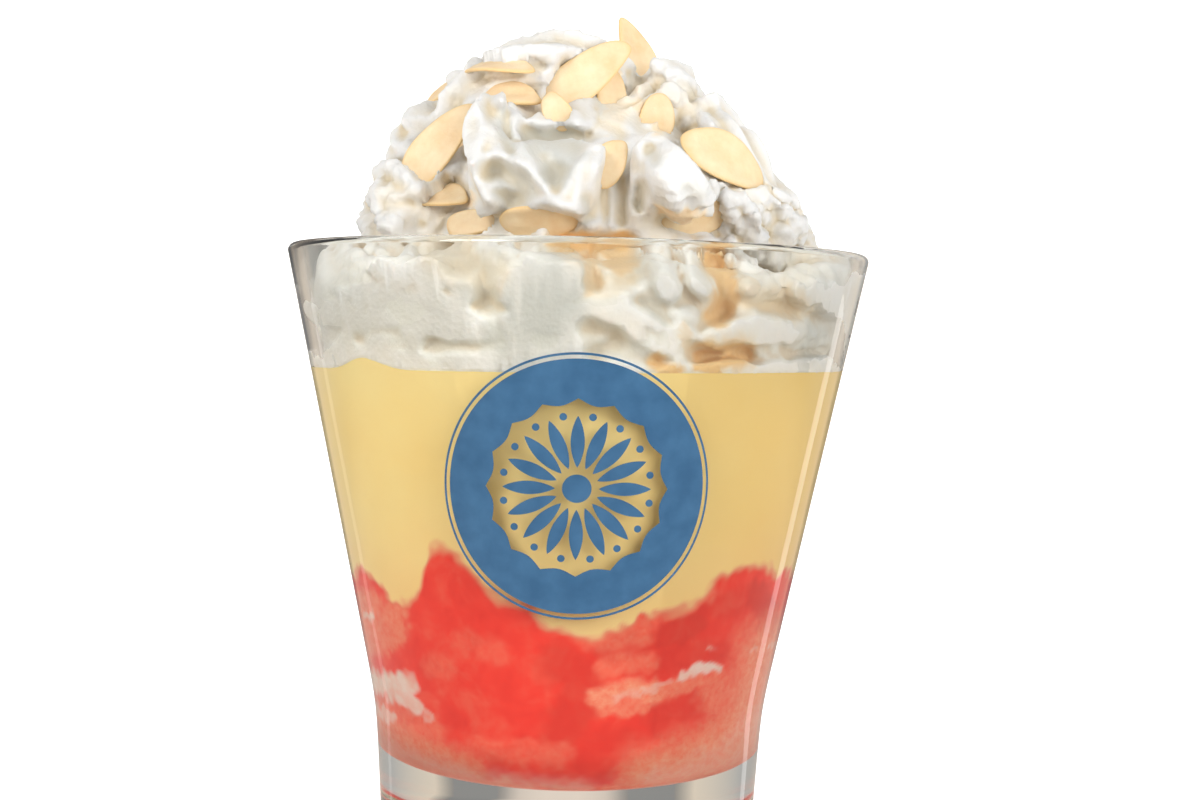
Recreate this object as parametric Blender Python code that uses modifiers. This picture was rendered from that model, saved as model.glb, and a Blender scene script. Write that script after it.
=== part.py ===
"""Sherry trifle in a glass tumbler: red jelly with sponge, custard, whipped cream and flaked almonds.

Lengths are in millimetres and angles in degrees until a point is placed, when MM turns them into metres.
Azimuth 0 is the front (-Y) and 90 the right (+X). The origin is the centre of the glass's underside.
"""

import math
import random

import bmesh
import bpy
import numpy as np
from mathutils import Matrix, Vector, noise
from mathutils.bvhtree import BVHTree

MM = 0.001
GAP = 0.3

# Tumbler: a straight foot that turns into a flared wall, with a thick base
RIM_HEIGHT = 96.0
RIM_RADIUS = 47.5
WALL_FLARE = 0.208
FOOT_RADIUS = 30.7
FOOT_FLARE = 0.06
TURN_RADIUS = 0.3
WALL_AT_RIM = 2.3
WALL_GROWTH = 0.01
FLOOR_HEIGHT = 13.4
CORNER_RADIUS = 8.5
FOOT_ROUNDING = 3.0
GLASS_STEPS = 56

# Fillings: heights at the wall by azimuth, and at the middle
JELLY_EDGE = (
    (-180, 44.0), (-150, 42.0), (-122, 46.0), (-90, 43.0), (-64, 44.7), (-46, 40.7), (-31, 50.5),
    (-14, 43.6), (5, 37.8), (24, 42.0), (49, 48.2), (68, 45.3), (90, 44.0), (130, 41.5), (155, 45.5),
)
JELLY_MIDDLE = 43.0
CUSTARD_LEVEL = 77.3
CUSTARD_LEAN = 0.6
CUSTARD_PEAK = (-47, 1.7, 7.0)
FILLING_STEPS = 48
CROSS_RINGS = 4

# Whipped cream
CREAM_VOXEL = 0.85
CREAM_FACES = 5000
CREAM_WAVES = ((20.0, 2.2, 1), (7.0, 0.8, 2))
CREAM_MIDDLE = 100.0
DOME_RADIUS = 39.5
DOME_HEIGHT = 84.0
DOME_TOP = 130.0
GROOVE_DEPTH = 5.0
LEAN_FROM = 104.0
LEAN_TO = 120.0
LEAN_LOW = 1.3
LEAN_HIGH = -2.0
SEED = 5

# Body of the heap inside the strands: radius, half its height and the height of its middle. Then the layer
# that lies on the custard: radius, depth and height
CREAM_HEART = (30, 38, 84)
CREAM_BASE = (46, 6, 76)

# Thick strands laid round: points, turns, first azimuth, height and thickness from first to last
CREAM_RINGS = (
    (20, 0.62, 65, (87, 86), (11, 13)),
    (12, 0.32, -62, (86, 85), (10, 11)),
    (22, 0.72, 50, (101, 100), (10, 10.5)),
    (14, 0.6, 70, (114, 113), (9, 9.5)),
)

# Rows of short dragged strands: height, how many, first and last azimuth. Then the range of half their
# length and of their thickness, and the most that they curl, in radians
TUFT_BANDS = ((92, 13, 62, 300), (103, 13, 55, 300), (114, 9, 60, 300), (122, 5, 70, 290))
TUFT_REACH = (7, 11)
TUFT_THICKNESS = (4.5, 7.5)
TUFT_CURL = 1.2

# Ring that lies against the wall under the rim, and its thinner part at the front right
WALL_RING = (40.0, 88.9, 5.7)
WALL_RING_FRONT = (39.8, 90.0, 3.1)
WALL_RING_FRONT_SPAN = (-2, 64)
WALL_RING_POINTS = 36

# Strands placed by eye: section, twist a mm and first turn, and then the points, each of azimuth, radius,
# height and thickness
PLACED_STRANDS = (
    ("five", 0, 20, ((-37, 20, 118, 4), (-33, 24, 114, 5.5), (-28, 27.5, 108, 6), (-24, 29, 102, 4.5))),
    ("soft", 0, 36, ((-16, 13, 117, 5), (-13, 14, 112, 7.5), (-9, 18, 107, 7.5), (-5, 23, 101, 6))),
    ("soft", 3, 0, ((-31, 25, 106, 4), (-22, 27, 107, 7), (-10, 27.5, 106, 7.5), (4, 29, 104, 6))),
    ("soft", 0, 0, ((19, 27, 110, 3.5), (23, 29, 107.5, 7), (27, 30, 104, 7.2), (31, 30, 100, 4))),
    ("star", 8, 0, ((60, 4, 106, 9), (60, 4, 114, 10), (60, 4, 118, 9), (62, 4, 122, 5.5), (66, 5, 125, 2))),
    ("fine", 6, 0, ((-40, 13, 114, 7), (-70, 13, 119, 8), (-92, 11, 123.5, 7), (-125, 7, 125, 5))),
    ("five", 4, 0, ((-78, 17, 117, 5), (-72, 15, 124, 7), (-48, 8, 126, 6), (30, 6, 127, 4.5),
                    (90, 9, 124, 3))),
    ("fine", 6, 0, ((40, 14, 112, 6.5), (68, 14, 116.5, 6.5), (95, 13, 120, 6), (130, 9, 121, 5))),
    ("fine", 6, 0, ((45, 27, 101, 5), (60, 29, 102, 8), (80, 28, 102, 9), (100, 27, 101, 8))),
    ("fine", 6, 0, ((-52, 25, 104, 6), (-70, 26, 107, 8.5), (-90, 25, 107, 9), (-110, 24, 104, 8))),
    ("star", 4, 0, ((-60, 34, 89, 7), (-75, 33, 90, 8))),
    ("star", 5, 0, ((72, 33, 90, 6), (80, 33, 88, 8), (90, 34, 86, 8), (100, 34, 86, 8))),
)

# Cream against the front of the glass: azimuth, height of its top and how far it stays off the wall there
SLAB = (
    (-66, 90.5, 0.0), (-56, 92.4, 0.0), (-42, 92.6, 0.0), (-30, 93.2, 0.0), (-16, 92.4, 0.0),
    (0, 93.0, 0.0), (7, 92.5, 0.8), (16, 92.0, 2.4), (34, 92.0, 2.6), (52, 91.5, 2.6), (74, 90.5, 2.8),
)
SLAB_BOTTOM = 73.0
SLAB_DEPTH = 9.0

# Forms of the cream's front, laid out in the plane through the glass's axis as seen from SIGHT: the kind, its
# width, its height towards the eye, and the points to the right and up that its line runs through
SIGHT = (4.0, -270.0, 83.5)
RELIEF_FADE = (3.0, 10.0)
RELIEF = (
    ("lobe", 4.47, 2.2, ((-12.4, 126.8), (-8.4, 127.5))),
    ("lobe", 3.31, 2.2, ((15.3, 123.8),)),
    ("lobe", 5.63, 4, ((15.8, 109.5), (17.4, 107.8))),
    ("lobe", 2.15, 2.6, ((1.2, 124.5), (0.2, 121.2), (-0, 117.9))),
    ("lobe", 1.16, 1.2, ((-23.7, 108.4),)),
    ("lobe", 1.49, 1.4, ((-21.1, 109.3),)),
    ("lobe", 1.32, 1.3, ((-18.9, 108),)),
    ("lobe", 1.99, 1.6, ((25.5, 104.4), (29.6, 105.2))),
    ("lobe", 2.15, 1.5, ((33.9, 105.6),)),
    ("lobe", 1.82, 1.4, ((36, 101.7),)),
    ("lobe", 1.99, 1.4, ((-30, 103),)),
    ("lobe", 1.82, 1.3, ((-31.6, 99.8),)),
    ("crest", 1.32, 2.4, ((-17.5, 120.5), (-16.3, 117.2), (-16.9, 113.6), (-17.6, 110.3))),
    ("crest", 1.16, 2.4, ((-13.6, 120.9), (-11.4, 118.7), (-10.8, 115.1), (-9.4, 112.5), (-7.3, 109.9))),
    ("crest", 1.16, 2.2, ((-13.6, 120.9), (-10.2, 118.4), (-6.9, 116.6), (-2.8, 116.9), (1.3, 116.5),
        (4, 115.6))),
    ("crest", 1.16, 2.8, ((4.2, 114.9), (1.4, 113.1), (-0.5, 110.7), (-2.1, 108.2), (-4, 105.2))),
    ("crest", 1.16, 2.6, ((-18, 110.3), (-15.7, 111.5), (-12.7, 111.3), (-9.7, 110.4), (-7.4, 108.4),
        (-5.2, 105.9), (-3.3, 103.1))),
    ("crest", 1.32, 2.4, ((-14.9, 104.2), (-12.5, 102.2), (-9.9, 102), (-7, 103.5), (-4, 104.2),
        (-1.3, 103.2), (0.7, 101.1), (2.2, 99.5))),
    ("crest", 1.32, 1.6, ((-0.5, 110.2), (-0.6, 107), (-1.2, 104.5))),
    ("crest", 0.99, 1.6, ((2.8, 111.1), (3.2, 107), (3.4, 100))),
    ("crest", 0.83, 1.3, ((5.2, 106.9), (5.3, 99.7))),
    ("crest", 0.83, 1.9, ((8.1, 108.3), (7.5, 105.5), (8.2, 103), (9.9, 102.1), (11.5, 103.4),
        (11.8, 105.6), (10.8, 108), (9.4, 109), (8.1, 108.3))),
    ("crest", 0.83, 1.9, ((7.3, 127.9), (6.7, 125.1), (6.5, 122.3), (7.5, 120.7), (8.8, 121.1),
        (9.4, 123.1), (8.9, 125.3), (7.8, 127.6))),
    ("crest", 1.16, 2, ((3.4, 118), (6.3, 117.3), (9.6, 115.2), (11.6, 114.1))),
    ("crest", 0.99, 1.8, ((11.6, 114.1), (13.2, 114.8), (14.8, 116), (16, 117.3), (18.6, 117.9),
        (21.7, 117.6))),
    ("crest", 0.99, 1.2, ((14.2, 114.5), (17.1, 113.1), (19.6, 110.9), (21.3, 108.4), (23.3, 107.7))),
    ("crest", 1.49, 1.8, ((8.2, 117), (8.6, 113.7), (9.7, 110.5), (11.5, 106.4), (12.7, 102.5))),
    ("crest", 0.99, 1.6, ((-3.5, 128.6), (-6.1, 125.3), (-5.9, 121.6), (-3.8, 118.2), (-2, 116.6))),
    ("crest", 0.83, 1.3, ((-16.8, 103.3), (-15.9, 105.8), (-13.9, 106.5))),
    ("crest", 0.83, 1.2, ((-18.2, 107), (-16.9, 104.9), (-17.2, 102.5))),
    ("bowl", 1.49, 3.6, ((-13.5, 118.3), (-13, 115), (-11.9, 112.4))),
    ("bowl", 3.15, 5.2, ((-7.3, 113.7), (-1.6, 113.8))),
    ("bowl", 2.32, 4.6, ((-6, 111.7), (-4.1, 109.7))),
    ("bowl", 1.32, 2.8, ((-4.8, 109.6), (-4.2, 106.7))),
    ("bowl", 2.65, 4.2, ((-13.3, 108.6), (-8.7, 105.9), (-12.3, 104.9))),
    ("bowl", 0.83, 1.8, ((0.9, 105.2), (0.9, 100.9))),
    ("bowl", 0.99, 2, ((6.8, 107.9), (7, 104.7), (7, 100.7))),
    ("bowl", 0.66, 1.4, ((4.2, 106.6), (4.2, 100.3))),
    ("bowl", 0.83, 1.6, ((8, 125.6), (8.1, 122.4))),
    ("bowl", 0.99, 1.7, ((10, 107), (10, 103.7))),
    ("bowl", 0.83, 2.2, ((13.3, 123.8),)),
    ("bowl", 0.83, 1.5, ((17.3, 122.3), (18.7, 121.3))),
    ("bowl", 0.66, 1.5, ((-22.2, 107.6),)),
    ("bowl", 0.83, 1.2, ((30.3, 103.9),)),
    ("bowl", 0.83, 1.2, ((31.7, 101.9),)),
    ("bowl", 0.66, 1.2, ((34.9, 103.6),)),
    ("bowl", 0.66, 1, ((27, 105.8),)),
    ("bowl", 0.66, 1.2, ((-27.7, 103.4),)),
    ("bowl", 0.66, 1.2, ((-29.9, 105.5),)),
    ("bowl", 0.66, 1, ((-26.4, 100.5),)),
    ("bowl", 0.83, 1.3, ((-24.8, 104.6),)),
    ("bowl", 1.16, 1.4, ((11.3, 113), (12.2, 111.3))),
    ("bowl", 1.32, 1.6, ((25.4, 107.4), (29.6, 107.1))),
    ("lobe", 2.15, 3.2, ((12.5, 95.2), (14.7, 90.3))),
    ("lobe", 2.15, 3, ((17.6, 96.7), (18.4, 92.4), (20.4, 90.5))),
    ("lobe", 1.32, 2.2, ((20.3, 97.7), (25.2, 97.8))),
    ("lobe", 2.48, 3.4, ((22.3, 82.9), (27.7, 83.9), (32.7, 84.6), (35.7, 83.4))),
    ("lobe", 2.65, 2.6, ((36.6, 90.2), (40.7, 88.6))),
    ("lobe", 1.66, 2, ((28.6, 95.6),)),
    ("lobe", 1.66, 1.8, ((27.5, 91.5),)),
    ("lobe", 1.49, 1.6, ((34.9, 91.8),)),
    ("crest", 0.99, 2, ((-6, 98.1), (-5, 95.5), (-1.5, 94.4), (0.7, 92.7), (-0.2, 90), (2, 88.6))),
    ("crest", 0.83, 1.8, ((3.4, 96.7), (3.3, 94.4), (5.5, 92.9), (10.1, 93.9))),
    ("crest", 1.16, 2.8, ((2, 87.8), (7, 84.9), (11.5, 82), (14.1, 79.8))),
    ("crest", 1.16, 3, ((4.9, 88.8), (10.3, 86.3), (14, 84.1), (16.4, 81), (17.3, 77.8))),
    ("crest", 0.99, 1.2, ((7.6, 89.9), (12.9, 88))),
    ("crest", 0.99, 2, ((15.2, 86.7), (18.6, 86))),
    ("crest", 0.99, 1.4, ((28.2, 82.7), (29.8, 79.8), (31.7, 78.2))),
    ("crest", 0.83, 1.4, ((35.2, 81.4), (37, 78.6))),
    ("crest", 0.83, 1.4, ((26.6, 93.9), (29.6, 95), (31.6, 93.7))),
    ("crest", 0.83, 1.2, ((25.9, 90.3), (28.4, 89.3), (30.7, 90.7))),
    ("bowl", 1.99, 4.8, ((-3.5, 97.4), (1.8, 96.8), (7.4, 97.1))),
    ("bowl", 1.99, 4.4, ((2, 94.3), (2.6, 90.7))),
    ("bowl", 2.32, 4.2, ((5.4, 95.1), (9.1, 94.5))),
    ("bowl", 1.66, 2.2, ((4.2, 90.8), (8.5, 92.2))),
    ("bowl", 0.83, 2, ((15.3, 96.3), (16.7, 93), (17.8, 90.1))),
    ("bowl", 2.32, 5, ((21.6, 94.8), (23.7, 92.4), (23.8, 88.6), (22.9, 86.2))),
    ("bowl", 1.49, 2, ((10.2, 87.9), (14.3, 85.7))),
    ("bowl", 2.65, 4.8, ((20.1, 79.2), (26.7, 80))),
    ("bowl", 1.32, 2.2, ((18.8, 88.5), (20.2, 86.5), (20.9, 84.5))),
    ("bowl", 1.99, 3, ((26.4, 88.6), (35, 88.3))),
    ("bowl", 1.66, 2.8, ((13.3, 78.1), (15.2, 76.6))),
    ("bowl", 2.32, 3.4, ((2.1, 84.1), (7.4, 81.9), (3.8, 80.5))),
    ("bowl", 1.99, 1.6, ((34.6, 81.5), (37.9, 80.3))),
    ("bowl", 2.82, 5, ((-19.6, 93.9), (-16.3, 92.6), (-14.6, 89))),
    ("bowl", 0.99, 2.6, ((-16.5, 87), (-12.2, 86.8))),
    ("bowl", 1.16, 2, ((-21.6, 90), (-19.2, 87.6))),
    ("bowl", 0.83, 2.4, ((-27.6, 95.3),)),
    ("bowl", 0.99, 1.8, ((-35, 81.3),)),
    ("crest", 0.99, 1.6, ((-19.2, 87.6), (-17.3, 90.3), (-16.6, 92.9))),
    ("crest", 0.83, 1.4, ((-12.9, 87.7), (-13.6, 91), (-14.7, 94))),
    ("lobe", 1.66, 1.8, ((-38.7, 94.4),)),
    ("lobe", 2.32, 2.2, ((-30.9, 93.6), (-28.7, 92.3))),
    ("lobe", 1.99, 2, ((-24.6, 93.7), (-24.2, 90.8))),
    ("lobe", 1.32, 1.6, ((-11.8, 96),)),
    ("lobe", 1.49, 1.6, ((-8.1, 95.4),)),
    ("lobe", 1.49, 1.6, ((-38.4, 78.9), (-33.9, 78.7))),
)

# Flaked almonds
FLAKE_THICKNESS = 1.0
FLAKE_SIDES = 14

# Front flakes: where the middle is seen from SIGHT, how far it stands off the cream, the way the flake faces
# (azimuth, elevation), the turn of its long side from level, and its length, width and bend
FRONT_FLAKES = (
    (-23.8, 113.1, 4.4, -22, 16, 56, 16.5, 7.6, 0.9),
    (-20.3, 112.9, 0.6, -6, 4, 72, 8.5, 5, 0.5),
    (-22.3, 123.3, 0.4, -45, 50, 32, 11, 5.6, 0.6),
    (-13.7, 126.4, 0.5, -25, 62, -12, 13, 6.6, 0.8),
    (-11.8, 121.6, 0.2, -14, 46, -8, 10, 5.4, 0.6),
    (0.5, 125.1, 2.4, -8, 18, 41, 17.2, 7.4, 0.8),
    (-4.3, 119, -0.6, -12, 10, 118, 7, 4.4, 0.4),
    (9.5, 127.6, 0.5, 40, 10, 116, 16, 7, 0.5),
    (4.8, 121.5, 0.6, 24, 8, 86, 9.6, 5, 0.4),
    (12.5, 118.4, 0, 20, 15, 74, 9, 5.6, 0.4),
    (24.3, 111.6, 1.2, 30, 22, -28, 16, 8.6, 0.9),
    (19.3, 102.1, 0.4, 25, -25, 8, 12.5, 6, 0.5),
    (4.6, 110.8, 1.2, 5, 10, 60, 8.5, 5, 0.4),
    (-23.1, 104.8, 0.3, -35, 50, -5, 11, 6, 0.6),
    (-17.8, 100.3, 0.4, -22, 20, 4, 9, 4.4, 0.5),
    (-6.7, 100.6, -0.3, -6, -40, 4, 12, 6, 0.6),
)

# Flakes on the sides and back, placed by rule: how many, first azimuth, step and elevations in turn
BACK_FLAKES = 6
BACK_FLAKE_FROM = 134
BACK_FLAKE_STEP = 22
BACK_FLAKE_ELEVATIONS = (16, 42, 64)


def remove_objects():
    for obj in list(bpy.data.objects):
        bpy.data.objects.remove(obj)


def collection(name):
    made = bpy.data.collections.new(name)
    bpy.context.scene.collection.children.link(made)
    return made


def move_to(target, obj):
    for holder in obj.users_collection:
        holder.objects.unlink(obj)
    target.objects.link(obj)


def material(name, colour, roughness, transmission=0.0):
    made = bpy.data.materials.new(name)
    made.use_nodes = True
    shader = made.node_tree.nodes["Principled BSDF"]
    shader.inputs["Base Color"].default_value = (*colour, 1.0)
    shader.inputs["Roughness"].default_value = roughness
    shader.inputs["Metallic"].default_value = 0.0
    shader.inputs["Transmission Weight"].default_value = transmission
    return made


def polar(azimuth, radius, height):
    angle = math.radians(azimuth)
    return Vector((radius * math.sin(angle), -radius * math.cos(angle), height)) * MM


def direction(azimuth, elevation):
    rise = math.radians(elevation)
    return polar(azimuth, math.cos(rise), math.sin(rise)) / MM


def outer_radius(height):
    foot = FOOT_RADIUS + FOOT_FLARE * height
    wall = RIM_RADIUS - WALL_FLARE * (RIM_HEIGHT - height)
    return foot + TURN_RADIUS * math.log1p(math.exp((wall - foot) / TURN_RADIUS))


def inner_radius(height, inset=0.0):
    """Radius of the inside at a height, or of a filling that stays inset from the glass all over."""
    wall = WALL_AT_RIM + WALL_GROWTH * (RIM_HEIGHT - height)
    rise = max(FLOOR_HEIGHT + CORNER_RADIUS - height, 0.0)
    corner = math.sqrt(max((CORNER_RADIUS - inset) ** 2 - rise**2, 0.0))
    return outer_radius(height) - wall - CORNER_RADIUS + corner


def corner_heights(inset=0.0):
    """Heights of the rings that round the inside's lower corner, from the wall down towards the floor."""
    angles = [math.radians(turn) for turn in (90, 60, 30)]
    return [FLOOR_HEIGHT + CORNER_RADIUS - (CORNER_RADIUS - inset) * math.cos(angle) for angle in angles]


def glass_profile():
    """Radius and height from the middle of the floor, up the inside, over the lip and down to the foot."""
    lip = WALL_AT_RIM / 2
    points = [(0, FLOOR_HEIGHT), (inner_radius(FLOOR_HEIGHT), FLOOR_HEIGHT)]
    heights = corner_heights()[::-1] + [23.5, 28, 52, RIM_HEIGHT - lip]
    points += [(inner_radius(z), z) for z in heights]
    centre = outer_radius(RIM_HEIGHT - lip) - lip
    for turn in (135, 90, 45):
        angle = math.radians(turn)
        points.append((centre + lip * math.cos(angle), RIM_HEIGHT - lip + lip * math.sin(angle)))
    points += [(outer_radius(z), z) for z in (RIM_HEIGHT - lip, 58, 30, 25, 22.5, 20, 16, FOOT_ROUNDING)]
    centre = outer_radius(FOOT_ROUNDING) - FOOT_ROUNDING
    for turn in (30, 60, 90):
        angle = math.radians(turn)
        drop = FOOT_ROUNDING * (1 - math.sin(angle))
        points.append((centre + FOOT_ROUNDING * math.cos(angle), drop))
    return points + [(0, 0)]


def glass_tumbler(parts):
    points = glass_profile()
    mesh = bpy.data.meshes.new("glass_tumbler")
    edges = [(i, i + 1) for i in range(len(points) - 1)]
    mesh.from_pydata([(r * MM, 0, z * MM) for r, z in points], edges, [])
    glass = bpy.data.objects.new("glass_tumbler", mesh)
    parts.objects.link(glass)
    screw = glass.modifiers.new("turn", "SCREW")
    screw.steps = screw.render_steps = GLASS_STEPS
    screw.use_merge_vertices = True
    screw.merge_threshold = 1e-5
    mesh.materials.append(material("clear_glass", (0.9, 0.94, 0.9), 0.03, transmission=1.0))
    return glass


def jelly_top(azimuth, share):
    """Height of the jelly's top, where share is the part of the way from the axis to the wall."""
    keys = JELLY_EDGE + ((JELLY_EDGE[0][0] + 360, JELLY_EDGE[0][1]),)
    azimuth = (azimuth + 180) % 360 - 180
    after = next(i for i, key in enumerate(keys) if key[0] > azimuth)
    (start, low), (end, high) = keys[after - 1], keys[after]
    ease = (1 - math.cos(math.pi * (azimuth - start) / (end - start))) / 2
    edge = low + (high - low) * ease
    return JELLY_MIDDLE + (edge - JELLY_MIDDLE) * share**2


def custard_top(azimuth, share):
    """Height of the custard's top: nearly level, with one small peak at the wall."""
    where, rise, width = CUSTARD_PEAK
    away = (azimuth - where + 180) % 360 - 180
    peak = rise * math.exp(-((away / width) ** 2)) * share**8
    return CUSTARD_LEVEL + CUSTARD_LEAN * share * math.sin(math.radians(azimuth)) + peak


def filling(name, top, bottom, levels, radius=lambda z: inner_radius(z, GAP)):
    """A closed solid of rings across the top, down the side at the given levels, and back under the bottom.

    top and bottom give a height by azimuth and share of the radius, and radius the side's radius by height.
    """

    def ring_points(azimuth):
        shares = [i / CROSS_RINGS for i in range(CROSS_RINGS + 1)]
        high = top(azimuth, 1)
        low = bottom(azimuth, 1)
        points = [(share * radius(high), top(azimuth, share)) for share in shares]
        points += [(radius(z), z) for z in levels(high, low)]
        return points + [(share * radius(low), bottom(azimuth, share)) for share in reversed(shares)]

    columns = [ring_points(360 * step / FILLING_STEPS) for step in range(FILLING_STEPS)]
    rows = len(columns[0]) - 1
    mesh = bmesh.new()
    bmesh.ops.create_uvsphere(mesh, u_segments=FILLING_STEPS, v_segments=rows, radius=1)
    place = {}
    for vert in mesh.verts:
        row = round(math.acos(max(-1, min(1, vert.co.z))) / math.pi * rows)
        step = round(math.atan2(vert.co.x, -vert.co.y) / math.tau * FILLING_STEPS) % FILLING_STEPS
        place[vert] = (columns[step][row][0], row, step)
        vert.co = polar(360 * step / FILLING_STEPS, *columns[step][row])
    split_alike(mesh, place)
    bmesh.ops.recalc_face_normals(mesh, faces=mesh.faces)
    data = bpy.data.meshes.new(name)
    mesh.to_mesh(data)
    mesh.free()
    return bpy.data.objects.new(name, data)


def split_alike(mesh, place):
    """Splits each four-sided face from its inner corner to the next step's outer corner.

    Two fillings that lie against each other are then cut into the same triangles, so the gap stays even.
    """

    def ring(face, row):
        """The face's two corners in one ring, in the order of their steps."""
        ends = sorted((v for v in face.verts if place[v][1] == row), key=lambda v: place[v][2])
        return ends[::-1] if place[ends[1]][2] - place[ends[0]][2] > 1 else ends

    for face in [f for f in mesh.faces if len(f.verts) == 4]:
        rings = [ring(face, row) for row in {place[v][1] for v in face.verts}]
        inner, outer = sorted(rings, key=lambda ends: place[ends[0]][0])
        bmesh.utils.face_split(face, inner[0], outer[1])


def jelly_sponge(parts):
    def levels(high, low):
        corner = corner_heights(GAP)
        steps = [high + (corner[0] - high) * i / 3 for i in (1, 2)]
        return steps + corner

    jelly = filling("jelly_sponge", jelly_top, lambda azimuth, share: FLOOR_HEIGHT + GAP, levels)
    jelly.data.materials.append(material("red_jelly", (0.84, 0.1, 0.07), 0.2))
    parts.objects.link(jelly)
    return jelly


def custard_layer(parts):
    def bottom(azimuth, share):
        return jelly_top(azimuth, share) + GAP

    def levels(high, low):
        return [(high + low) / 2]

    custard = filling("custard", custard_top, bottom, levels)
    custard.data.materials.append(material("custard", (0.93, 0.7, 0.28), 0.35))
    parts.objects.link(custard)
    return custard


def star_section(name, ridges, depth, steps, helpers):
    """Cross-section of a piped strand, of radius 1: sharp ridges round it with rounded grooves between."""
    data = bpy.data.curves.new(name, "CURVE")
    data.dimensions = "2D"
    spline = data.splines.new("POLY")
    count = ridges * steps
    spline.points.add(count - 1)
    spline.use_cyclic_u = True
    for i, point in enumerate(spline.points):
        angle = math.tau * i / count
        radius = 1 - depth * abs(math.sin(ridges * angle / 2))
        point.co = (radius * math.cos(angle), radius * math.sin(angle), 0, 1)
    section = bpy.data.objects.new(name, data)
    section.hide_render = True
    section.display_type = "WIRE"
    helpers.objects.link(section)
    return section


def strand(section, twist, turn, points, helpers):
    """A piped strand through points of azimuth, radius, height and thickness, twisting by degrees a mm."""
    data = bpy.data.curves.new("strand", "CURVE")
    data.dimensions = "3D"
    data.bevel_mode = "OBJECT"
    data.bevel_object = section
    data.use_fill_caps = True
    spline = data.splines.new("NURBS")
    spline.points.add(len(points) - 1)
    spline.order_u = 4
    spline.use_endpoint_u = True
    spline.resolution_u = 6
    places = [polar(azimuth, radius, height) for azimuth, radius, height, _ in points]
    run = 0.0
    for i, point in enumerate(spline.points):
        run += (places[i] - places[i - 1]).length / MM if i else 0.0
        point.co = (*places[i], 1)
        point.radius = points[i][3] * MM
        point.tilt = math.radians(turn + twist * run)
    made = bpy.data.objects.new("strand", data)
    made.hide_render = True
    helpers.objects.link(made)
    return made


def heap_radius(height):
    """Radius of the heap's rough outline: a dome above the rim that widens to the wall below it."""
    share = max(0.0, min(1.0, (height - DOME_HEIGHT) / (DOME_TOP - DOME_HEIGHT)))
    dome = DOME_RADIUS * math.sqrt(1 - share**2)
    spread = max(0.0, min(1.0, (RIM_HEIGHT - height) / GROOVE_DEPTH))
    return dome + (inner_radius(min(height, RIM_HEIGHT)) - dome) * spread


def swirl(count, turns, start, height, thickness, chance):
    """Points of a thick strand laid round inside the dome; height and thickness run from first to last."""
    points = []
    for i in range(count):
        share = i / (count - 1)
        level, thick = (a + (b - a) * share for a, b in (height, thickness))
        level += chance.uniform(-1, 1)
        thick *= chance.uniform(0.88, 1.12)
        radius = heap_radius(level) - thick + chance.uniform(-1, 1)
        points.append((start + 360 * turns * share, radius, level, thick))
    return points


def wall_ring(chance):
    """Points of the ring of cream against the wall, which leaves only a shallow groove below the rim."""
    first, last = WALL_RING_FRONT_SPAN
    points = []
    for i in range(WALL_RING_POINTS + 1):
        azimuth = 360 * i / WALL_RING_POINTS - 120
        radius, level, thick = WALL_RING_FRONT if first < azimuth < last else WALL_RING
        uneven = chance.uniform(-0.4, 0.4)
        points.append((azimuth, radius + uneven / 2, level + uneven, thick + abs(uneven)))
    return points


def tuft(azimuth, height, chance):
    """Points of a short dragged strand that lies on the dome, thick in the middle, in a random direction."""
    heading = chance.uniform(0, math.tau)
    curl = chance.uniform(-TUFT_CURL, TUFT_CURL)
    reach = chance.uniform(*TUFT_REACH)
    thick = chance.uniform(*TUFT_THICKNESS)
    points = []
    for step in (-1.0, -0.5, 0.0, 0.5, 1.0):
        way = heading + curl * step
        level = min(height + reach * step * math.sin(way) * 0.8, DOME_TOP - 4)
        width = thick * (1 - 0.75 * step**2)
        radius = max(heap_radius(level) - width * 0.8 - 1.5 * abs(step), 2.0)
        shift = math.degrees(reach * step * math.cos(way) / max(radius, 12.0))
        points.append((azimuth + shift, radius, level, width))
    return points


def cream_strands(helpers):
    """The strands that the heap was piped and dragged into."""
    chance = random.Random(SEED)
    star = star_section("star", 6, 0.42, 6, helpers)
    five = star_section("five", 5, 0.5, 8, helpers)
    soft = star_section("soft", 5, 0.2, 6, helpers)
    fine = star_section("fine", 8, 0.34, 6, helpers)
    strands = [(star, 5.0, 0, swirl(*ring, chance)) for ring in CREAM_RINGS]
    strands.append((soft, 3.0, 0, wall_ring(chance)))
    for band, (height, count, start, end) in enumerate(TUFT_BANDS):
        for i in range(count):
            azimuth = start + (end - start) * (i + chance.uniform(0.2, 0.8)) / count
            section = (star, five, fine)[(i + band) % 3]
            points = tuft(azimuth, height + chance.uniform(-4, 4), chance)
            strands.append((section, chance.uniform(-4, 4), chance.uniform(0, 360), points))
    sections = {"star": star, "five": five, "soft": soft, "fine": fine}
    strands += [(sections[kind], twist, turn, points) for kind, twist, turn, points in PLACED_STRANDS]
    return [strand(*item, helpers) for item in strands]


def between(table, azimuth):
    """The values of a table at an azimuth, eased between its rows."""
    after = next((i for i, row in enumerate(table) if row[0] > azimuth), len(table) - 1)
    first, last = table[after - 1], table[after]
    share = min(max((azimuth - first[0]) / (last[0] - first[0]), 0.0), 1.0)
    ease = share * share * (3 - 2 * share)
    return [a + (b - a) * ease for a, b in zip(first[1:], last[1:])]


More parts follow.
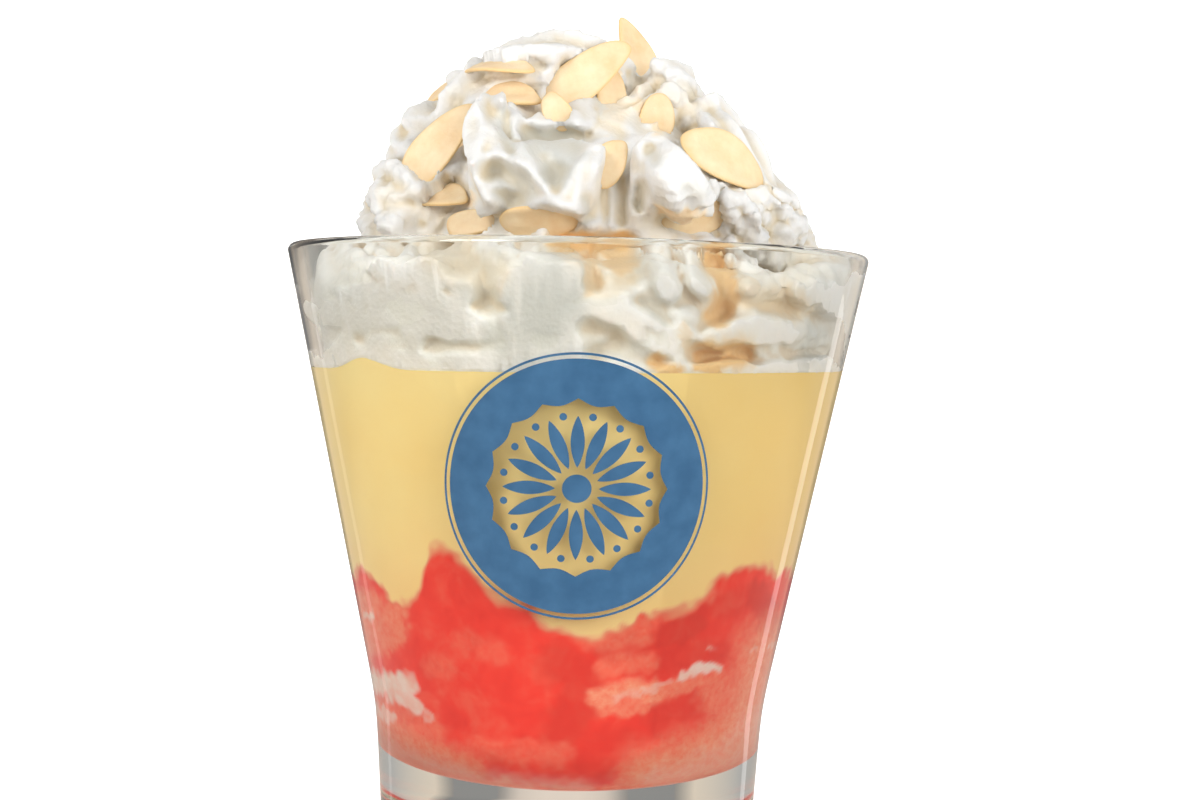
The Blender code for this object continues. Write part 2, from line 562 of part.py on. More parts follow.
def slab(helpers):
    """Cream lying against the front of the glass."""
    azimuths = np.linspace(SLAB[0][0], SLAB[-1][0], 57)
    points = []
    for azimuth in azimuths:
        top, off = between(SLAB, azimuth)
        levels = np.linspace(SLAB_BOTTOM, top, 7)
        outer = [(inner_radius(z) + GAP - off, z) for z in levels]
        outer[-1] = (outer[-1][0] - 1.2, outer[-1][1])
        inner = [(r - SLAB_DEPTH, z) for r, z in reversed(outer)]
        points += [polar(azimuth, r, z) for r, z in outer + inner]
    count = 14
    faces = [tuple(range(count))[::-1], tuple(range(len(points) - count, len(points)))]
    for row in range(len(azimuths) - 1):
        for i in range(count):
            j = (i + 1) % count
            a, b = row * count, (row + 1) * count
            faces.append((a + i, a + j, b + j, b + i))
    mesh = bpy.data.meshes.new("slab")
    mesh.from_pydata([tuple(point) for point in points], [], faces)
    made = bpy.data.objects.new("slab", mesh)
    made.hide_render = True
    helpers.objects.link(made)
    return made


def cream_core(helpers):
    """The body of the heap inside the strands, and the layer that lies flat on the custard."""
    radius, half, middle = CREAM_HEART
    bpy.ops.mesh.primitive_uv_sphere_add(segments=32, ring_count=16, radius=MM, location=(0, 0, middle * MM))
    heart = bpy.context.object
    heart.scale = (radius, radius, half)
    radius, depth, middle = CREAM_BASE
    bpy.ops.mesh.primitive_cylinder_add(
        vertices=FILLING_STEPS, radius=radius * MM, depth=depth * MM, location=(0, 0, middle * MM)
    )
    base = bpy.context.object
    for obj in (heart, base):
        obj.hide_render = True
        move_to(helpers, obj)
    return [heart, base]


def evaluated_mesh(obj):
    bpy.context.view_layer.update()
    graph = bpy.context.evaluated_depsgraph_get()
    mesh = bpy.data.meshes.new_from_object(obj.evaluated_get(graph))
    mesh.transform(obj.matrix_world)
    return mesh


def joined(name, objects, helpers):
    """One object of all the objects' meshes, each with its end caps welded on."""
    whole = bmesh.new()
    for obj in objects:
        piece = evaluated_mesh(obj)
        welded = bmesh.new()
        welded.from_mesh(piece)
        bmesh.ops.remove_doubles(welded, verts=welded.verts, dist=1e-6)
        welded.to_mesh(piece)
        welded.free()
        whole.from_mesh(piece)
        bpy.data.objects.remove(obj)
    mesh = bpy.data.meshes.new(name)
    whole.to_mesh(mesh)
    whole.free()
    made = bpy.data.objects.new(name, mesh)
    helpers.objects.link(made)
    return made


def apply_modifiers(obj):
    mesh = evaluated_mesh(obj)
    obj.modifiers.clear()
    obj.data = mesh


def lean(obj):
    """Leans the heap's shoulders a little to the right and its crown to the left."""
    for vert in obj.data.vertices:
        share = max(0.0, min(1.0, (vert.co.z / MM - LEAN_FROM) / (LEAN_TO - LEAN_FROM)))
        ease = share * share * (3 - 2 * share)
        vert.co.x += (LEAN_LOW + (LEAN_HIGH - LEAN_LOW) * ease) * MM


def wave(obj, size, amount, shift):
    """Moves each point by a smooth random field of the given size, both in millimetres."""
    offsets = [Vector((13.7, 7.1, 3.3)) * shift + Vector((31.1, 17.3, 5.9)) * axis for axis in range(3)]
    for vert in obj.data.vertices:
        place = vert.co / (size * MM)
        vert.co += Vector([noise.noise(place + offset) for offset in offsets]) * amount * MM


def noise_at(points, size, shift):
    """Noise from about -1 to 1 at each point, with features about size millimetres across."""
    offset = Vector((13.7, 7.1, 3.3)) * shift
    return np.array([noise.noise(Vector(p) / size + offset) for p in points])


def front_places(points):
    """Where each point is seen from SIGHT in the plane through the axis: to the right and up."""
    x, y, z = SIGHT
    scale = -y / (points[:, 1] - y)
    return np.column_stack([x + (points[:, 0] - x) * scale, z + (points[:, 2] - z) * scale])


def rounded(line):
    """A line with its corners cut twice."""
    line = np.array(line, float)
    for _ in range(2):
        if len(line) > 2:
            near = line[:-1] * 0.75 + line[1:] * 0.25
            far = line[:-1] * 0.25 + line[1:] * 0.75
            line = np.vstack([line[:1], np.stack([near, far], 1).reshape(-1, 2), line[-1:]])
    return line


def away_from(places, line):
    """Distance of each place from a line."""
    line = rounded(line)
    best = np.full(len(places), 1e9)
    for start, end in zip(line, line[1:] if len(line) > 1 else line):
        run = end - start
        share = np.clip((places - start) @ run / max(run @ run, 1e-9), 0, 1)
        best = np.minimum(best, np.hypot(*(places - start - share[:, None] * run).T))
    return best


def relief_height(places):
    sums = {"crest": 0.0, "lobe": 0.0, "bowl": 0.0}
    for kind, width, height, line in RELIEF:
        away = away_from(places, line) / width
        if kind == "crest":
            rise = np.exp(0.35 - np.sqrt(away**2 + 0.1225))
        elif kind == "lobe":
            rise = np.sqrt(np.clip(1 - away**2, 0, 1))
        else:
            rise = np.exp(-(away**2))
        sums[kind] = sums[kind] + (height * rise) ** 3
    return np.cbrt(sums["crest"]) + np.cbrt(sums["lobe"]) - np.cbrt(sums["bowl"])


def front_relief(points):
    """Moves the points of the front towards the eye or away from it."""
    start, full = RELIEF_FADE
    near = np.flatnonzero(points[:, 1] < -start + 4)
    chosen = points[near]
    places = front_places(chosen)
    places += np.column_stack([noise_at(chosen, 5.0, 21), noise_at(chosen, 5.0, 22)]) * 0.7
    fade = np.clip((start - chosen[:, 1] - 2) / full, 0, 1)
    sight = np.array(SIGHT) - chosen
    sight /= np.linalg.norm(sight, axis=1)[:, None]
    points[near] += sight * (relief_height(places) * fade)[:, None]


def raise_front(obj):
    """Gives the front of the skin its folds, lobes and hollows."""
    points = np.array([vert.co for vert in obj.data.vertices]) / MM
    front_relief(points)
    obj.data.vertices.foreach_set("co", (points * MM).astype(np.float32).ravel())
    obj.data.update()


def voxel_skin(obj):
    remesh = obj.modifiers.new("one_skin", "REMESH")
    remesh.mode = "VOXEL"
    remesh.voxel_size = CREAM_VOXEL * MM
    apply_modifiers(obj)


def soften(obj, rounds):
    smooth = obj.modifiers.new("soften", "SMOOTH")
    smooth.factor = 0.5
    smooth.iterations = rounds
    apply_modifiers(obj)


def add_boolean(obj, other, operation):
    cut = obj.modifiers.new(operation.lower(), "BOOLEAN")
    cut.operation = operation
    cut.object = other
    cut.solver = "EXACT"


def cream_heap(helpers):
    """The heap as one skin over its strands, uneven like whipped cream, before anything is cut from it."""
    pieces = cream_strands(helpers) + [slab(helpers)] + cream_core(helpers)
    cream = joined("whipped_cream", pieces, helpers)
    voxel_skin(cream)
    lean(cream)
    for size, amount, shift in CREAM_WAVES:
        wave(cream, size, amount, shift)
    soften(cream, 4)
    raise_front(cream)
    voxel_skin(cream)
    soften(cream, 1)
    fewer = cream.modifiers.new("fewer_faces", "DECIMATE")
    cream.data.calc_loop_triangles()
    fewer.ratio = CREAM_FACES / len(cream.data.loop_triangles)
    apply_modifiers(cream)
    return cream


def cream_room(helpers):
    """The space open to the cream: above the custard, inside the wall, and free above the rim."""
    top = DOME_TOP + 20

    def radius(z):
        return inner_radius(z, GAP) if z <= RIM_HEIGHT else RIM_RADIUS + 20

    def bottom(azimuth, share):
        return custard_top(azimuth, share) + GAP

    def levels(high, low):
        return [RIM_HEIGHT + 1, RIM_HEIGHT]

    room = filling("room", lambda azimuth, share: top, bottom, levels, radius)
    room.hide_render = True
    helpers.objects.link(room)
    return room


def keep_largest(obj):
    """Drops the scraps that cutting leaves loose."""
    mesh = bmesh.new()
    mesh.from_mesh(obj.data)
    bmesh.ops.remove_doubles(mesh, verts=mesh.verts, dist=2e-6)
    left = set(mesh.verts)
    islands = []
    while left:
        island = {left.pop()}
        border = list(island)
        while border:
            vert = border.pop()
            near = {edge.other_vert(vert) for edge in vert.link_edges} - island
            island |= near
            border += near
        left -= island
        islands.append(island)
    largest = max(islands, key=len)
    bmesh.ops.delete(mesh, geom=[v for v in mesh.verts if v not in largest], context="VERTS")
    mesh.to_mesh(obj.data)
    mesh.free()


def almond_flake(name, place, spec, spare=0.0):
    """A slice of almond, flat, blunt at one end and slightly bent. spare makes it larger all round."""
    length, width, bend, seed = spec
    chance = random.Random(seed)
    phases = [chance.uniform(0, math.tau) for _ in range(3)]
    mesh = bmesh.new()
    bmesh.ops.create_circle(mesh, cap_ends=True, cap_tris=True, segments=FLAKE_SIDES, radius=1)
    for vert in mesh.verts:
        angle = math.atan2(vert.co.y, vert.co.x)
        share = vert.co.length
        uneven = 1 + sum(0.03 * math.cos((k + 2) * angle + phases[k]) for k in range(3))
        x = share * uneven * math.cos(angle)
        y = share * uneven * math.sin(angle) * (1 - 0.22 * math.cos(angle))
        along = x * (length / 2 + spare)
        across = y * (width / 2 + spare)
        vert.co = Vector((along, across, -bend * x * x + 0.3 * bend * y * y)) * MM
    data = bpy.data.meshes.new(name)
    mesh.to_mesh(data)
    mesh.free()
    flake = bpy.data.objects.new(name, data)
    flake.matrix_world = place
    thick = flake.modifiers.new("thickness", "SOLIDIFY")
    thick.thickness = (FLAKE_THICKNESS + 2 * spare) * MM
    thick.offset = 0
    return flake


def front_flake_specs():
    """Each front flake's line of sight, as a start and a direction, and the rest of its row."""
    eye = Vector(SIGHT) * MM
    specs = []
    for right, up, *rest in FRONT_FLAKES:
        seen = Vector((right, 0, up)) * MM
        specs.append((eye, (seen - eye).normalized(), *rest))
    return specs


def back_flake_specs():
    """The same for flakes on the sides and back, each seen from outside towards the heap's middle."""
    chance = random.Random(SEED)
    specs = []
    for i in range(BACK_FLAKES):
        azimuth = BACK_FLAKE_FROM + i * BACK_FLAKE_STEP + chance.uniform(-6, 6)
        elevation = BACK_FLAKE_ELEVATIONS[i % 3] + chance.uniform(-4, 4)
        tilt = chance.uniform(-14, 14)
        turn = chance.uniform(0, 180)
        size = chance.uniform(14, 16.5)
        facing = (azimuth + tilt, elevation + tilt)
        out = direction(azimuth, elevation)
        start = Vector((0, 0, CREAM_MIDDLE * MM)) + out * 0.08
        specs.append((start, -out, 0.1, *facing, turn, size, size * 0.52, 0.8))
    return specs


def flake_place(skin, spec):
    """Matrix of a flake: where it is seen, its flat side facing as told and its long side turned from level.

    A line of sight that just misses the cream gives the place nearest to it.
    """
    start, sight, lift, azimuth, elevation, turn = spec[:6]
    facing = direction(azimuth, elevation)
    level = Vector((0, 0, 1)).cross(facing).normalized()
    upward = facing.cross(level)
    long_side = level * math.cos(math.radians(turn)) + upward * math.sin(math.radians(turn))
    axes = Matrix((long_side, facing.cross(long_side), facing)).transposed()
    hit = skin.ray_cast(start, sight)[0] or skin.find_nearest(start + sight * start.length)[0]
    return Matrix.Translation(hit - sight * lift * MM) @ axes.to_4x4()


def almond_flakes(parts, helpers, cream):
    """The flakes, each in a slot that fits it in the cream."""
    skin = BVHTree.FromPolygons(
        [v.co.copy() for v in cream.data.vertices], [tuple(p.vertices) for p in cream.data.polygons]
    )
    almond = material("almond", (0.95, 0.78, 0.5), 0.5)
    slots = []
    for i, spec in enumerate(front_flake_specs() + back_flake_specs()):
        place = flake_place(skin, spec)
        size = (*spec[6:9], i)
        flake = almond_flake(f"almond_flake_{i + 1:02d}", place, size)
        flake.data.materials.append(almond)
        parts.objects.link(flake)
        slot = almond_flake(f"slot_{i + 1:02d}", place, size, spare=GAP)
        slot.hide_render = True
        helpers.objects.link(slot)
        add_boolean(cream, slot, "DIFFERENCE")
        slots.append(slot)
    apply_modifiers(cream)
    for slot in slots:
        bpy.data.objects.remove(slot)


def whipped_cream(parts, helpers):
    cream = cream_heap(helpers)
    room = cream_room(helpers)
    add_boolean(cream, room, "INTERSECT")
    apply_modifiers(cream)
    bpy.data.objects.remove(room)
    almond_flakes(parts, helpers, cream)
    keep_largest(cream)
    cream.data.materials.clear()
    cream.data.materials.append(material("whipped_cream", (0.93, 0.9, 0.85), 0.5))
    move_to(parts, cream)
    return cream


def shade(obj):
    obj.data.shade_smooth()
    obj.data.set_sharp_from_angle(angle=math.radians(40))


def main():
    remove_objects()
    parts = collection("sherry_trifle")
    helpers = collection("helpers")
    glass_tumbler(parts)
    jelly_sponge(parts)
    custard_layer(parts)
    whipped_cream(parts, helpers)
    for obj in parts.objects:
        shade(obj)


main()
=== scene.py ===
"""Looks of the sherry trifle: printed tumbler, red jelly, custard, whipped cream and flaked almonds.

Lengths are in millimetres and angles in degrees until a point is placed, when MM turns them into metres.
Azimuth 0 is the front (-Y) and 90 the right (+X). The origin is the centre of the glass's underside.
"""

import math
import random

import bmesh
import bpy
import numpy as np
from mathutils import Matrix, Vector, noise


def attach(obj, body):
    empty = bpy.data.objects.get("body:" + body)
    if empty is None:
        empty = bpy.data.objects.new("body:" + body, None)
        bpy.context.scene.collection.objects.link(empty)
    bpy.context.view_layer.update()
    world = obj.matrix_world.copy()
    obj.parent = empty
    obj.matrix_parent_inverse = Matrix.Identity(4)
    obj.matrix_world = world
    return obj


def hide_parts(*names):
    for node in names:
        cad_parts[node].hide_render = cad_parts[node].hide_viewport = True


MM = 0.001

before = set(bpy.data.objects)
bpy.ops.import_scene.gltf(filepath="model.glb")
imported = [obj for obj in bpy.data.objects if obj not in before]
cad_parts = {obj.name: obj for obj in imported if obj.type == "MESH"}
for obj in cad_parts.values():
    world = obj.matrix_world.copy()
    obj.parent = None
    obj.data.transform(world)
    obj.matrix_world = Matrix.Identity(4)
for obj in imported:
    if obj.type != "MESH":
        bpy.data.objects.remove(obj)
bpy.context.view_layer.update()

# Camera, fitted to the rim's ellipse, the walls and the print in a picture of this width
IMAGE_WIDTH = 1200
FOCAL_PIXELS = 1630
SENSOR_WIDTH = 36
CAMERA_PLACE = (4.0, -270.0, 83.5)
CAMERA_PITCH = 2.53
CAMERA_ROLL = 1.3

# Tumbler, as in the solids. BEND is the height from and up to which the foot turns into the wall
RIM_HEIGHT = 96.0
RIM_RADIUS = 47.5
WALL_FLARE = 0.208
FOOT_RADIUS = 30.7
FOOT_FLARE = 0.06
TURN_RADIUS = 0.3
WALL_AT_RIM = 2.3
WALL_GROWTH = 0.01
FLOOR_HEIGHT = 13.4
CORNER_RADIUS = 8.5
CORNER_TOP = FLOOR_HEIGHT + CORNER_RADIUS
FOOT_ROUNDING = 3.0
BEND = (29, 33)
GLASS_STEPS = 192

# Fillings, as in the solids. They reach INTO_GLASS into the wall, so that no air shows between. The jelly's
# edge is given by azimuth and height, the custard's peak by azimuth, rise and width
JELLY_EDGE = (
    (-180, 44.0), (-150, 42.0), (-122, 46.0), (-90, 43.0), (-64, 44.7), (-46, 40.7), (-31, 50.5),
    (-14, 43.6), (5, 37.8), (24, 42.0), (49, 48.2), (68, 45.3), (90, 44.0), (130, 41.5), (155, 45.5),
)
JELLY_MIDDLE = 43.0
CUSTARD_LEVEL = 77.3
CUSTARD_LEAN = 0.6
CUSTARD_PEAK = (-47, 1.7, 7.0)
INTO_GLASS = 0.12
FILLING_STEPS = 480
FILLING_RISE = 0.45
FILLING_SHARES = (0.25, 0.5, 0.75, 0.9)
LAYER_OVERLAP = 0.02
SHARP_EDGE = 50

# How far the two run into each other at the glass
SMEAR_SOFTNESS = 1.0

# Whipped cream, as in the solids but finer. Its waves are noise: size, amount and shift
CREAM_VOXEL = 0.48
CREAM_TRIANGLES = 190000
CREAM_WAVES = ((20.0, 2.2, 1), (7.0, 0.8, 2))
NOISE_SHIFT = Vector((13.7, 7.1, 3.3))
AXIS_SHIFT = Vector((31.1, 17.3, 5.9))
SEED = 5

# Outline of the heap, and how it leans to the side between two heights
DOME_RADIUS = 39.5
DOME_HEIGHT = 84.0
DOME_TOP = 130.0
HEAP_MIDDLE = (3.0, 0.0, 88.0)
GROOVE_DEPTH = 5.0
LEAN_FROM = 104.0
LEAN_TO = 120.0
LEAN_LOW = 1.3
LEAN_HIGH = -2.0

# Filled middle of the heap, an ellipsoid over a drum: radius, half or full height, and height of its middle
CREAM_HEART = (30, 38, 84)
CREAM_BASE = (46, 6, 76)

# Sections of the piped strands: ridges, depth of the grooves and points to a ridge
SECTIONS = {"star": (6, 0.42, 6), "five": (5, 0.5, 8), "soft": (5, 0.2, 6), "fine": (8, 0.34, 6)}

# Piped rings: number of points, turns, first azimuth, and heights and thicknesses from end to end
CREAM_RINGS = (
    (20, 0.62, 65, (87, 86), (11, 13)),
    (12, 0.32, -62, (86, 85), (10, 11)),
    (22, 0.72, 50, (101, 100), (10, 10.5)),
    (14, 0.6, 70, (114, 113), (9, 9.5)),
)

# Tufts by rule: height, number, first and last azimuth
TUFT_BANDS = ((92, 13, 62, 300), (103, 13, 55, 300), (114, 9, 60, 300), (122, 5, 70, 290))
TUFT_REACH = (7, 11)
TUFT_THICKNESS = (4.5, 7.5)
TUFT_CURL = 1.2

# Cream all round at the wall, thinner at the front, and below it down to the custard at the sides and the
# back: radius, height and thickness, and the azimuths between which each runs
WALL_RING = (40.0, 88.9, 5.7)
WALL_RING_FRONT = (39.8, 90.0, 3.1)
WALL_RING_FRONT_SPAN = (-2, 64)
WALL_RING_POINTS = 36
WALL_RING_START = -120
LOW_RING = (38.2, 81.2, 5.6)
LOW_RING_SPAN = (80, 284)
LOW_RING_POINTS = 20
RING_UNEVEN = 0.4

# Strands laid one by one: section, twist by the millimetre, turn, and azimuth, radius, height and thickness
# of the points
PLACED_STRANDS = (
    ("five", 0, 20, ((-37, 20, 118, 4), (-33, 24, 114, 5.5), (-28, 27.5, 108, 6), (-24, 29, 102, 4.5))),
    ("soft", 0, 36, ((-16, 13, 117, 5), (-13, 14, 112, 7.5), (-9, 18, 107, 7.5), (-5, 23, 101, 6))),
    ("soft", 3, 0, ((-31, 25, 106, 4), (-22, 27, 107, 7), (-10, 27.5, 106, 7.5), (4, 29, 104, 6))),
    ("soft", 0, 0, ((19, 27, 110, 3.5), (23, 29, 107.5, 7), (27, 30, 104, 7.2), (31, 30, 100, 4))),
    ("star", 8, 0, ((60, 4, 106, 9), (60, 4, 114, 10), (60, 4, 118, 9), (62, 4, 122, 5.5), (66, 5, 125, 2))),
    ("fine", 6, 0, ((-40, 13, 114, 7), (-70, 13, 119, 8), (-92, 11, 123.5, 7), (-125, 7, 125, 5))),
    ("five", 4, 0, ((-78, 17, 117, 5), (-72, 15, 124, 7), (-48, 8, 126, 6), (30, 6, 127, 4.5),
                    (90, 9, 124, 3))),
    ("fine", 6, 0, ((40, 14, 112, 6.5), (68, 14, 116.5, 6.5), (95, 13, 120, 6), (130, 9, 121, 5))),
    ("fine", 6, 0, ((45, 27, 101, 5), (60, 29, 102, 8), (80, 28, 102, 9), (100, 27, 101, 8))),
    ("fine", 6, 0, ((-52, 25, 104, 6), (-70, 26, 107, 8.5), (-90, 25, 107, 9), (-110, 24, 104, 8))),
    ("star", 4, 0, ((-60, 34, 89, 7), (-75, 33, 90, 8))),
    ("star", 5, 0, ((72, 33, 90, 6), (80, 33, 88, 8), (90, 34, 86, 8), (100, 34, 86, 8))),
)

# Cream against the front of the glass: azimuth, height of its top and how far it stays off the wall there.
# It is pressed SLAB_PRESS past the wall and cut back to it later, and its top edge draws back by SLAB_BREAK
SLAB = (
    (-66, 90.5, 0.0), (-56, 92.4, 0.0), (-42, 92.6, 0.0), (-30, 93.2, 0.0), (-16, 92.4, 0.0),
    (0, 93.0, 0.0), (7, 92.5, 0.8), (16, 92.0, 2.4), (34, 92.0, 2.6), (52, 91.5, 2.6), (74, 90.5, 2.8),
)
SLAB_BOTTOM = 73.0
SLAB_DEPTH = 9.0
SLAB_PRESS = 0.3
SLAB_BREAK = 1.2
SLAB_COLUMNS = 57
SLAB_ROWS = 7

# How far behind the glass's axis the forms and the tints of the front end, and how far they take to get there
RELIEF_FADE = (1.0, 10.0)
TINT_FADE = (2.0, 6.0)

# Forms of the cream's front, laid out in the plane through the glass's axis as seen from SIGHT. A row has
# the width, the height towards the eye and then, right and up in turn, the points its line runs through
SIGHT = CAMERA_PLACE
RELIEF = {
    "lobe": (
        (4.47, 2.2, -12.4, 126.8, -8.4, 127.5), (3.31, 2.2, 15.3, 123.8),
        (5.63, 4, 15.8, 109.5, 17.4, 107.8), (2.15, 2.6, 1.2, 124.5, 0.2, 121.2, 0, 117.9),
        (1.16, 1.2, -23.7, 108.4), (1.49, 1.4, -21.1, 109.3), (1.32, 1.3, -18.9, 108),
        (1.99, 1.6, 25.5, 104.4, 29.6, 105.2), (2.15, 1.5, 33.9, 105.6), (1.82, 1.4, 36, 101.7),
        (1.99, 1.4, -30, 103), (1.82, 1.3, -31.6, 99.8), (2.15, 3.2, 12.5, 95.2, 14.7, 90.3),
        (2.15, 3, 17.6, 96.7, 18.4, 92.4, 20.4, 90.5), (1.32, 2.2, 20.3, 97.7, 25.2, 97.8),
        (2.48, 3.4, 22.3, 82.9, 27.7, 83.9, 32.7, 84.6, 35.7, 83.4), (2.65, 2.6, 36.6, 90.2, 40.7, 88.6),
        (1.66, 2, 28.6, 95.6), (1.66, 1.8, 27.5, 91.5), (1.49, 1.6, 34.9, 91.8), (1.66, 1.8, -38.7, 94.4),
        (2.32, 2.2, -30.9, 93.6, -28.7, 92.3), (1.99, 2, -24.6, 93.7, -24.2, 90.8), (1.32, 1.6, -11.8, 96),
        (1.49, 1.6, -8.1, 95.4), (1.49, 1.6, -38.4, 78.9, -33.9, 78.7),
        (2.82, 2.4, -37.7, 85.2, -29.4, 85.1, -21.8, 85.7), (1.99, 1.6, -36.6, 81.3, -26, 80.8),
        (2.15, 2.4, -26.9, 83.1, -15.1, 82.9),
    ),
    "crest": (
        (1.32, 2.4, -17.5, 120.5, -16.3, 117.2, -16.9, 113.6, -17.6, 110.3),
        (1.16, 2.4, -13.6, 120.9, -11.4, 118.7, -10.8, 115.1, -9.4, 112.5, -7.3, 109.9),
        (1.16, 2.2, -13.6, 120.9, -10.2, 118.4, -6.9, 116.6, -2.8, 116.9, 1.3, 116.5, 4, 115.6),
        (1.16, 2.8, 4.2, 114.9, 1.4, 113.1, -0.5, 110.7, -2.1, 108.2, -4, 105.2),
        (1.16, 2.6, -18, 110.3, -15.7, 111.5, -12.7, 111.3, -9.7, 110.4, -7.4, 108.4, -5.2, 105.9, -3.3,
         103.1),
        (1.32, 2.4, -14.9, 104.2, -12.5, 102.2, -9.9, 102, -7, 103.5, -4, 104.2, -1.3, 103.2, 0.7, 101.1,
         2.2, 99.5), (1.32, 1.6, -0.5, 110.2, -0.6, 107, -1.2, 104.5),
        (0.99, 1.6, 2.8, 111.1, 3.2, 107, 3.4, 100), (0.83, 1.3, 5.2, 106.9, 5.3, 99.7),
        (0.83, 1.9, 8.1, 108.3, 7.5, 105.5, 8.2, 103, 9.9, 102.1, 11.5, 103.4, 11.8, 105.6, 10.8, 108, 9.4,
         109, 8.1, 108.3),
        (0.83, 1.9, 7.3, 127.9, 6.7, 125.1, 6.5, 122.3, 7.5, 120.7, 8.8, 121.1, 9.4, 123.1, 8.9, 125.3,
         7.8, 127.6), (1.16, 2, 3.4, 118, 6.3, 117.3, 9.6, 115.2, 11.6, 114.1),
        (0.99, 1.8, 11.6, 114.1, 13.2, 114.8, 14.8, 116, 16, 117.3, 18.6, 117.9, 21.7, 117.6),
        (0.99, 1.2, 14.2, 114.5, 17.1, 113.1, 19.6, 110.9, 21.3, 108.4, 23.3, 107.7),
        (1.49, 1.8, 8.2, 117, 8.6, 113.7, 9.7, 110.5, 11.5, 106.4, 12.7, 102.5),
        (0.99, 1.6, -3.5, 128.6, -6.1, 125.3, -5.9, 121.6, -3.8, 118.2, -2, 116.6),
        (0.83, 1.3, -16.8, 103.3, -15.9, 105.8, -13.9, 106.5),
        (0.83, 1.2, -18.2, 107, -16.9, 104.9, -17.2, 102.5),
        (0.99, 2, -6, 98.1, -5, 95.5, -1.5, 94.4, 0.7, 92.7, -0.2, 90, 2, 88.6),
        (0.83, 1.8, 3.4, 96.7, 3.3, 94.4, 5.5, 92.9, 10.1, 93.9),
        (1.16, 2.8, 2, 87.8, 7, 84.9, 11.5, 82, 14.1, 79.8),
        (1.16, 3, 4.9, 88.8, 10.3, 86.3, 14, 84.1, 16.4, 81, 17.3, 77.8), (0.99, 1.2, 7.6, 89.9, 12.9, 88),
        (0.99, 2, 15.2, 86.7, 18.6, 86), (0.99, 1.4, 28.2, 82.7, 29.8, 79.8, 31.7, 78.2),
        (0.83, 1.4, 35.2, 81.4, 37, 78.6), (0.83, 1.4, 26.6, 93.9, 29.6, 95, 31.6, 93.7),
        (0.83, 1.2, 25.9, 90.3, 28.4, 89.3, 30.7, 90.7), (0.99, 1.6, -19.2, 87.6, -17.3, 90.3, -16.6, 92.9),
        (0.83, 1.4, -12.9, 87.7, -13.6, 91, -14.7, 94),
    ),
    "bowl": (
        (1.49, 3.6, -13.5, 118.3, -13, 115, -11.9, 112.4), (3.15, 5.2, -7.3, 113.7, -1.6, 113.8),
        (2.32, 4.6, -6, 111.7, -4.1, 109.7), (1.32, 2.8, -4.8, 109.6, -4.2, 106.7),
        (2.65, 4.2, -13.3, 108.6, -8.7, 105.9, -12.3, 104.9), (0.83, 1.8, 0.9, 105.2, 0.9, 100.9),
        (0.99, 2, 6.8, 107.9, 7, 104.7, 7, 100.7), (0.66, 1.4, 4.2, 106.6, 4.2, 100.3),
        (0.83, 1.6, 8, 125.6, 8.1, 122.4), (0.99, 1.7, 10, 107, 10, 103.7), (0.83, 2.2, 13.3, 123.8),
        (0.83, 1.5, 17.3, 122.3, 18.7, 121.3), (0.66, 1.5, -22.2, 107.6), (0.83, 1.2, 30.3, 103.9),
        (0.83, 1.2, 31.7, 101.9), (0.66, 1.2, 34.9, 103.6), (0.66, 1, 27, 105.8), (0.66, 1.2, -27.7, 103.4),
        (0.66, 1.2, -29.9, 105.5), (0.66, 1, -26.4, 100.5), (0.83, 1.3, -24.8, 104.6),
        (1.16, 1.4, 11.3, 113, 12.2, 111.3), (1.32, 1.6, 25.4, 107.4, 29.6, 107.1),
        (1.99, 4.8, -3.5, 97.4, 1.8, 96.8, 7.4, 97.1), (1.99, 4.4, 2, 94.3, 2.6, 90.7),
        (2.32, 4.2, 5.4, 95.1, 9.1, 94.5), (1.66, 2.2, 4.2, 90.8, 8.5, 92.2),
        (0.83, 2, 15.3, 96.3, 16.7, 93, 17.8, 90.1),
        (2.32, 5, 21.6, 94.8, 23.7, 92.4, 23.8, 88.6, 22.9, 86.2), (1.49, 2, 10.2, 87.9, 14.3, 85.7),
        (2.65, 4.8, 20.1, 79.2, 26.7, 80), (1.32, 2.2, 18.8, 88.5, 20.2, 86.5, 20.9, 84.5),
        (1.99, 3, 26.4, 88.6, 35, 88.3), (1.66, 2.8, 13.3, 78.1, 15.2, 76.6),
        (2.32, 3.4, 2.1, 84.1, 7.4, 81.9, 3.8, 80.5), (1.99, 1.6, 34.6, 81.5, 37.9, 80.3),
        (2.82, 5, -19.6, 93.9, -16.3, 92.6, -14.6, 89), (0.99, 2.6, -16.5, 87, -12.2, 86.8),
        (1.16, 2, -21.6, 90, -19.2, 87.6), (0.83, 2.4, -27.6, 95.3), (0.99, 1.8, -35, 81.3),
        (1.49, 3.4, 14.2, 102.2, 18.5, 100.6, 23.4, 102.7),
    ),
}

# Where a tint ends and how far it takes to get there, in widths
TINT_END = 1.35
TINT_EDGE = 0.9

